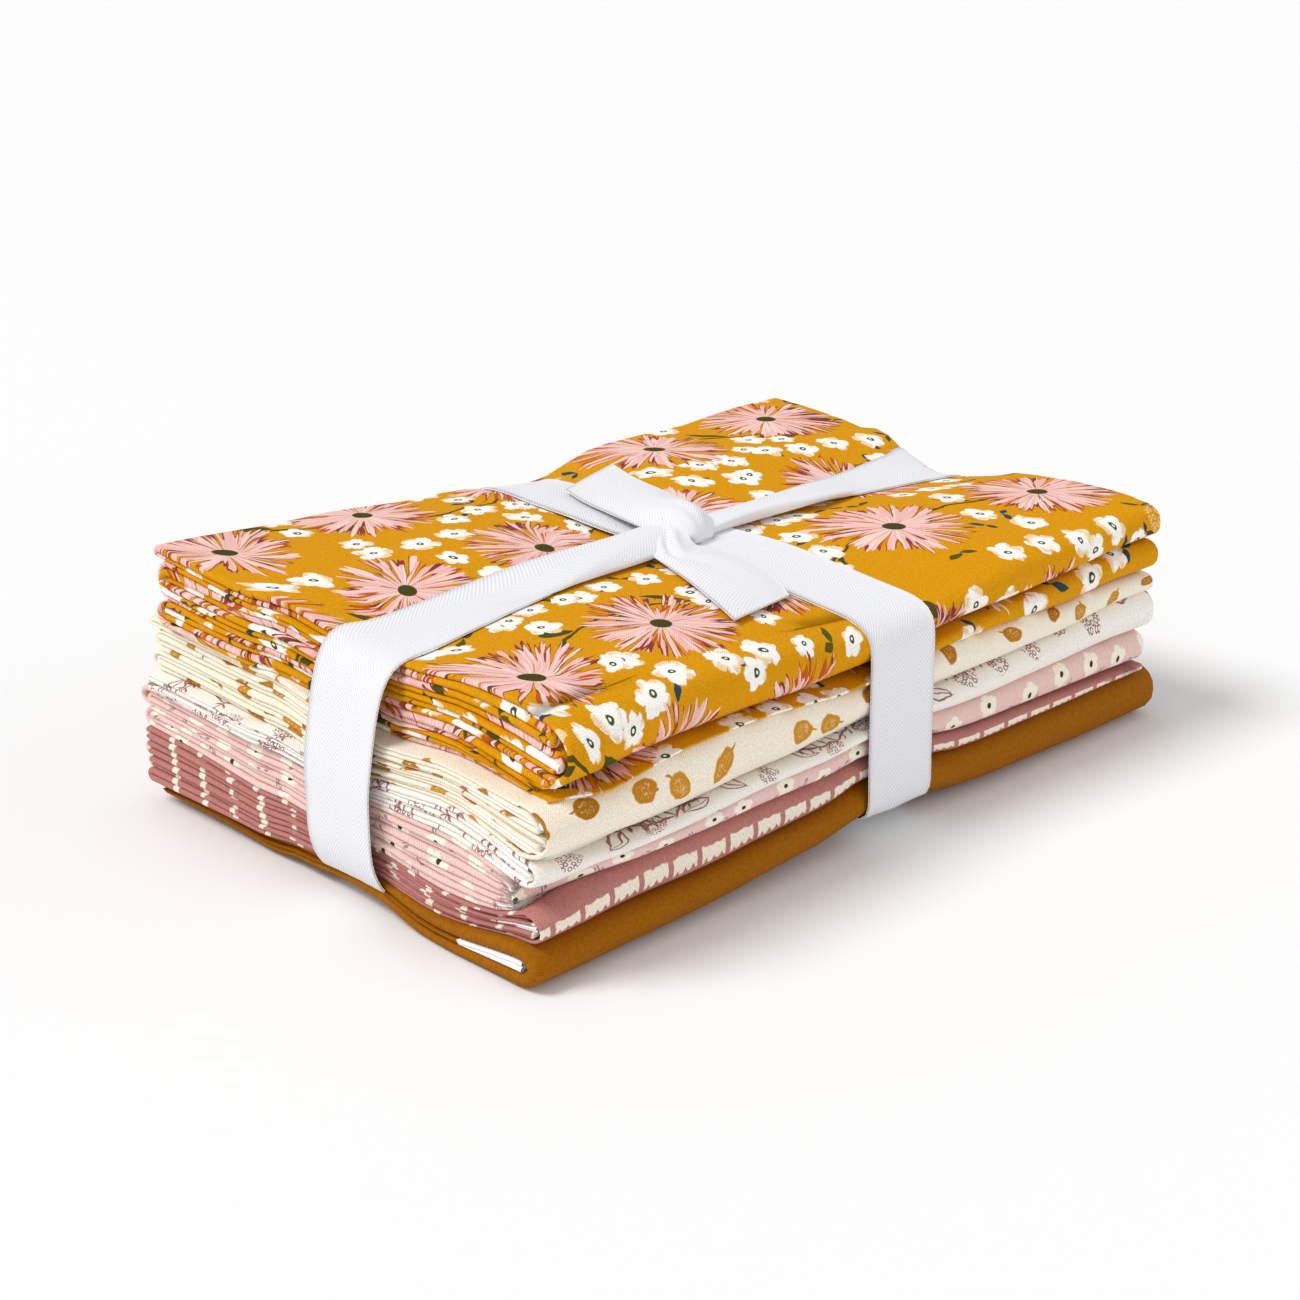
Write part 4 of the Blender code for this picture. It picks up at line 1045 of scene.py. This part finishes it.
def mustard_print(g, where, ground):
    """Round daisies with brushed petals, small blossoms, leaves and wandering stems."""
    bent = g.bent(where, 0.12, 2, 3)
    # stems with a leaf now and then
    stem, along, off = wavy_stem(g, bent, 50, 8.5, 121, 0.5)
    step = g.over(along, 19)
    side = g.times_plus(g.math("FLOORED_MODULO", g.floor(step), 2), 2, -1)
    leaf_place = g.join(g.times(g.minus(g.math("FRACT", step), 0.5), 19), g.times(off, side))
    stem_leaf = leaf(g, leaf_place, 0.8, 3.9, 5.2, 2, -0.62)
    colour = g.blend(g.most(stem, stem_leaf), ground, srgb(76, 78, 24))
    # small leaves in pairs
    small = scatter(g, bent, 11.5, 0.45, 3)
    left = leaf(g, small.local, -2.2, 0.3, 2.8, 1.05, 0.3)
    shape = g.most(left, leaf(g, small.local, 2.1, 0.5, 2.2, 1, -0.6))
    kept = g.times(clear_of(g, small.centre, *DAISIES, 23), clear_of(g, small.centre, *BLOSSOMS, 7.6))
    tone = g.blend(g.step(g.parts(small.dice)[0], 0.45, 0.55), srgb(44, 74, 84), srgb(84, 84, 28))
    colour = g.blend(g.times(shape, kept), colour, tone)
    # patches of pale rings
    dots = scatter(g, where, 30, 0.5, 7)
    ringed = line_at(g, g.cells(where, 0.52, 0.55), 0.30, 0.14)
    patch = g.step(g.length(dots.local), 5.2, 4.4)
    patch = g.times(patch, clear_of(g, dots.centre, *DAISIES, 26))
    patch = g.times(patch, clear_of(g, dots.centre, *BLOSSOMS, 9.5))
    colour = g.blend(g.times(patch, ringed), colour, srgb(240, 196, 130))
    # blossoms, many to a cluster
    for pitch, seed, size, chance in ((12.6, 2, 5, 0.38), (19, 5, 4, 0.5)):
        bloom = scatter(g, bent, pitch, 0.3, seed)
        distance, angle = polar(g, bloom.local)
        ragged = g.times_plus(g.minus(g.noise(where, 0.5, 1), 0.5), 1.3, petal_edge(g, angle, 5, size, 0.36))
        here = g.step(g.noise(bloom.centre, 0.035, 0), 0.36, 0.362) if seed == 2 else 1
        drawn = g.times(here, g.step(g.parts(bloom.dice)[2], chance - 0.3, chance - 0.29))
        kept = g.times(clear_of(g, bloom.centre, *DAISIES, 21.5), drawn)
        petals = g.times(inside(g, distance, ragged), kept)
        shade = g.step(g.noise(g.vector("ADD", where, (40, 9, 0)), 0.25, 1), 0.5, 0.58)
        tone = g.blend(g.times(shade, g.step(distance, 2.2, 3.8)), srgb(251, 248, 242), srgb(238, 208, 164))
        eye = g.times(g.step(distance, 1.15, 0.9), g.step(distance, 0.3, 0.5))
        tone = g.blend(eye, tone, srgb(66, 80, 34))
        colour = g.blend(petals, colour, tone)
    # daisies
    daisy = scatter(g, where, *DAISIES)
    distance, angle = polar(g, daisy.local)
    rolled = g.parts(daisy.dice)[0]
    around = g.join(g.math("COSINE", angle), g.math("SINE", angle), rolled)
    strokes = g.node("ShaderNodeTexNoise", 0, {"noise_dimensions": "4D"}, Vector=around,
                     W=g.times(distance, 0.006), Scale=10, Detail=1, Roughness=0.5)
    fine = g.node("ShaderNodeTexNoise", 0, {"noise_dimensions": "4D"},
                  Vector=g.vector("ADD", around, (3, 5, 2)), W=g.times(distance, 0.003), Scale=17, Detail=1)
    tip = g.times_plus(g.minus(fine, 0.5), 11, petal_edge(g, angle, 11, 19.5, 0.2))
    petals = g.times(inside(g, distance, tip, 0.3), g.step(distance, 2.2, 2.8))
    inner = g.times_plus(distance, 0.0115, 0.335)
    outer = g.times_plus(distance, 0.0085, 0.305)
    pink = g.blend(g.step(fine, 0.48, 0.6), srgb(236, 184, 176), srgb(246, 212, 202))
    dark = g.blend(g.step(g.noise(where, 0.12, 0), 0.46, 0.54), srgb(186, 88, 30), srgb(140, 58, 58))
    tone = g.blend(g.step(g.minus(strokes, inner), -0.008, 0.008), dark, pink)
    drawn = g.step(g.minus(strokes, outer), -0.008, 0.008)
    colour = g.blend(g.times(petals, drawn), colour, tone)
    return g.blend(g.step(distance, 2.9, 2.5), colour, srgb(70, 68, 24))


def cream_print(g, where, ground):
    """Oval leaves strewn one by one, some on a short stalk."""
    spot = scatter(g, g.vector("ADD", g.bent(where, 0.3, 1, 1.4), (0, 6, 0)), 14, 0.42, 11)
    shape = oval(g, spot.local, 0, 0, 3.8, 2.3)
    stalk = oval(g, spot.local, 4.3, 0.3, 1.4, 0.3)
    kept = g.step(g.parts(spot.dice)[2], 0.12, 0.14)
    flecks = g.times(line_at(g, g.noise(where, 0.8, 1), 0.5, 0.035), oval(g, spot.local, 0, 0, 2.6, 1.4))
    tone = g.blend(g.step(g.parts(spot.dice)[1], 0.3, 0.7), srgb(204, 140, 38), srgb(180, 116, 16))
    tone = g.blend(g.times(flecks, 0.6), tone, srgb(240, 220, 180))
    return g.blend(g.times(g.most(shape, stalk), kept), ground, tone)


def line_print(g, where, ground):
    """Drawn outlines of leaves, twigs and berries in one mauve."""
    bent = g.bent(where, 0.25, 1, 1.6)
    spot = scatter(g, bent, 13, 0.3, 21)
    outer, inner = leaf(g, spot.local, 0, 0, 5.2, 2.5), leaf(g, spot.local, 0, 0, 4.5, 1.9)
    ink = g.times(outer, g.minus(1, inner))
    rib = oval(g, spot.local, 0.4, 0, 5.4, 0.24)
    bare = g.step(g.parts(spot.dice)[0], 0.60, 0.62)
    ink = g.times(g.most(ink, rib), g.minus(1, bare))
    berries = line_at(g, g.cells(where, 0.62, 0.5), 0.34, 0.13)
    berry = g.times(berries, oval(g, spot.local, 0, 0, 3.9, 3.2))
    ink = g.most(ink, g.times(berry, bare))
    stem, along, off = wavy_stem(g, bent, 21, 3.6, 58, 0.24)
    twig_step = g.minus(g.math("FRACT", g.over(along, 3.1)), 0.5)
    twig = leaf(g, g.join(g.times(twig_step, 3.1), g.size(off)), 0.3, 1, 1.3, 0.34, -0.9)
    ink = g.most(ink, g.most(stem, twig))
    return g.blend(ink, ground, srgb(158, 108, 108))


def pink_print(g, where, ground):
    """Small cream blossoms with a dark eye, and grey sprigs between them."""
    spot = scatter(g, where, 13.5, 0.32, 31)
    distance, angle = polar(g, spot.local)
    bloom = inside(g, distance, petal_edge(g, angle, 5, 3.3, 0.3), 0.2)
    sprigs = scatter(g, g.vector("ADD", where, (6.4, 3, 0)), 13.5, 0.2, 32)
    sprig = oval(g, sprigs.local, 0, 0, 3.4, 0.22)
    for x, y in ((-1.9, 0.9), (-0.3, -0.9), (1.3, 0.9), (2.9, -0.7)):
        sprig = g.most(sprig, oval(g, sprigs.local, x, y, 0.8, 0.38))
    colour = g.blend(sprig, ground, srgb(158, 138, 136))
    colour = g.blend(bloom, colour, srgb(247, 240, 222))
    return g.blend(g.step(distance, 0.85, 0.6), colour, srgb(70, 54, 46))


def mauve_print(g, where, ground):
    """Rows of cream dashes, each straight above and scalloped below."""
    x, y = g.parts(where)[:2]
    row = g.floor(g.over(y, MAUVE_ROW))
    shift = g.times(g.math("FLOORED_MODULO", g.times(row, 0.37), 1), 9.7)
    along = g.minus(g.math("FLOORED_MODULO", g.plus(x, shift), 9.7), 4.85)
    up = g.minus(y, g.times(g.plus(row, 0.5), MAUVE_ROW))
    wobble = g.times_plus(g.noise(where, 0.6, 1), 0.7, -0.35)
    humps = g.size(g.math("SINE", g.times(along, math.pi / 2.6)))
    down = g.times_plus(humps, 0.75, g.times_plus(along, 0.05, 0.5))
    body = g.step(g.minus(g.minus(wobble, up), down), 0.15, -0.15)
    body = g.times(body, g.step(g.plus(up, wobble), 1.25, 0.95))
    dash = g.times(body, g.step(g.size(along), 4.15, 3.8))
    return g.blend(dash, ground, srgb(240, 230, 212))


def plain_print(g, where, ground):
    return ground


def new_material(name):
    """A material with its node helper and its shader."""
    material = bpy.data.materials.new(name)
    material.use_nodes = True
    return material, Graph(material.node_tree), material.node_tree.nodes["Principled BSDF"]


def woven(g, shader, colour, height, strength, distance, roughness, gloss):
    """The colour and the relief of cloth, and its shine on the shader's own sockets."""
    g.put(shader.inputs["Base Color"], colour)
    bump = g.node("ShaderNodeBump", Strength=strength, Distance=distance, Height=height)
    g.put(shader.inputs["Normal"], bump)
    shader.inputs["Roughness"].default_value = roughness
    shader.inputs["Specular IOR Level"].default_value = gloss


def cotton(name, selvage, ground, printer, wear):
    """Printed plain weave: the print on the cloth's map, a white selvage at its free ends, relief, and
    painted shade in the weave's hollows.
    """
    material, g, shader = new_material(name)
    where = g.scale(g.node("ShaderNodeUVMap", settings={"uv_map": "cloth"}), 1000)
    dark = tuple(channel * (1 - wear) for channel in ground)
    colour = printer(g, where, g.blend(g.step(g.noise(where, 0.9, 3), 0.32, 0.68), dark, ground))
    free = g.node("ShaderNodeAttribute", 2, {"attribute_name": "free_end"})
    rough = g.times_plus(g.minus(g.noise(where, 0.8, 2), 0.5), 1.2, free)
    colour = g.blend(g.step(rough, selvage, selvage - 0.5), colour, srgb(252, 251, 252))
    x, y = g.parts(where)[:2]
    warp, weft = (g.math("SINE", g.times(way, TURN / WEAVE_PITCH)) for way in (x, y))
    weave = g.times(warp, weft)
    slub = g.noise(g.vector("MULTIPLY", where, (0.35, 2.6, 0)), 1, 1)
    grain = g.noise(where, 2.4, 2)
    height = g.times_plus(grain, 0.9, g.times_plus(slub, 0.8, g.times(weave, 0.35)))
    # painted shade: the weave term darkens the colour where the weave's relief dips; the grain term is tone
    # that differs at random
    grained = g.times(g.times_plus(g.minus(grain, 0.5), 0.5, 1), g.times_plus(weave, 0.15, 1))
    woven(g, shader, g.scale(colour, grained), height, 0.35, 0.00012, roughness=0.86, gloss=0.08)
    return material


def twill_tape():
    """White cotton tape in herringbone twill, with painted shade: a darker, bluish tone in the twill's
    grooves.
    """
    material, g, shader = new_material("ribbon_tie")
    where = g.scale(g.node("ShaderNodeUVMap", settings={"uv_map": "cloth"}), 1000)
    x, y = g.parts(where)[:2]
    folded = g.math("PINGPONG", x, 6)
    slant = g.math("SINE", g.times(g.plus(folded, g.times(y, 0.75)), TURN / TWILL_PITCH))
    rib = g.step(slant, -0.75, 0.55)
    grain = g.noise(where, 2.2, 2)
    # painted shade: the low grooves of the twill get the darker bluish tone and the raised ribs the light one
    tone = g.blend(rib, srgb(226, 227, 232), srgb(243, 243, 246))
    grained = g.times_plus(g.minus(grain, 0.5), 0.08, 1)
    height = g.times_plus(grain, 0.5, rib)
    woven(g, shader, g.scale(tone, grained), height, 0.4, 0.00018, roughness=0.75, gloss=0.3)
    shader.inputs["Sheen Weight"].default_value = 0.1
    return material


# The camera, the floor and the lights: name, place, angle of its disc in degrees, power
FLOOR_Z = -0.0004
LAMPS = (
    ("key", (-0.62, 0.34, 1), 24, 1.8),
    ("fill", (-1, -0.9, 0.5), 40, 0.2),
    ("side", (0.7, -1, 0.45), 45, 0.45),
)


def aim(made, place, target):
    made.location = place
    direction = Vector(target) - Vector(place)
    made.rotation_euler = direction.to_track_quat("-Z", "Y").to_euler()


def set_stage():
    floor = bpy.data.meshes.new("floor")
    corners = [(x, y, FLOOR_Z) for x, y in ((-6, -6), (6, -6), (6, 6), (-6, 6))]
    floor.from_pydata(corners, [], [(0, 1, 2, 3)])
    floor_object = bpy.data.objects.new("floor", floor)
    bpy.context.scene.collection.objects.link(floor_object)
    material, g, shader = new_material("floor")
    noise = g.node("ShaderNodeTexNoise", Scale=3)
    g.put(shader.inputs["Base Color"], g.blend(noise, (0.92, 0.92, 0.92), (0.9, 0.9, 0.9)))
    shader.inputs["Roughness"].default_value = 0.9
    floor.materials.append(material)
    world = bpy.data.worlds.new("studio")
    world.use_nodes = True
    background = world.node_tree.nodes["Background"]
    background.inputs["Color"].default_value = (1, 1, 1, 1)
    background.inputs["Strength"].default_value = 0.56
    bpy.context.scene.world = world
    bpy.context.scene.view_settings.view_transform = "Standard"
    for name, place, angle, power in LAMPS:
        light = bpy.data.lights.new(name, "SUN")
        light.angle = math.radians(angle)
        light.energy = power
        lamp = bpy.data.objects.new(name, light)
        bpy.context.scene.collection.objects.link(lamp)
        aim(lamp, place, (0, 0, 0.03))


def set_camera():
    azimuth, elevation = -0.77583, 0.38019
    right = Vector((math.cos(azimuth), math.sin(azimuth), 0))
    back = Vector((math.sin(azimuth) * math.cos(elevation), -math.cos(azimuth) * math.cos(elevation),
                   math.sin(elevation)))
    up = back.cross(right)
    lens = bpy.data.cameras.new("camera")
    lens.lens = 76.27
    lens.sensor_width = 36
    lens.clip_start = 0.01
    lens.clip_end = 50
    camera = bpy.data.objects.new("camera", lens)
    bpy.context.scene.collection.objects.link(camera)
    turned = Matrix((right, up, back)).transposed().to_4x4()
    camera.matrix_world = Matrix.Translation((-0.48706, -0.48860, 0.30618)) @ turned
    bpy.context.scene.camera = camera


PRINTS = (
    (srgb(162, 98, 12), plain_print, 0.14),
    (srgb(190, 128, 120), mauve_print, 0.10),
    (srgb(238, 203, 196), pink_print, 0.06),
    (srgb(247, 242, 234), line_print, 0.04),
    (srgb(247, 238, 219), cream_print, 0.05),
    (srgb(220, 152, 10), mustard_print, 0.08),
)
for number, cut in enumerate(CUTS):
    made = folded_cut(number)
    made.data.materials.append(cotton(cut.name, cut.selvage, *PRINTS[number]))
ribbon = tied_ribbon()
ribbon.data.materials.append(twill_tape())
set_stage()
set_camera()
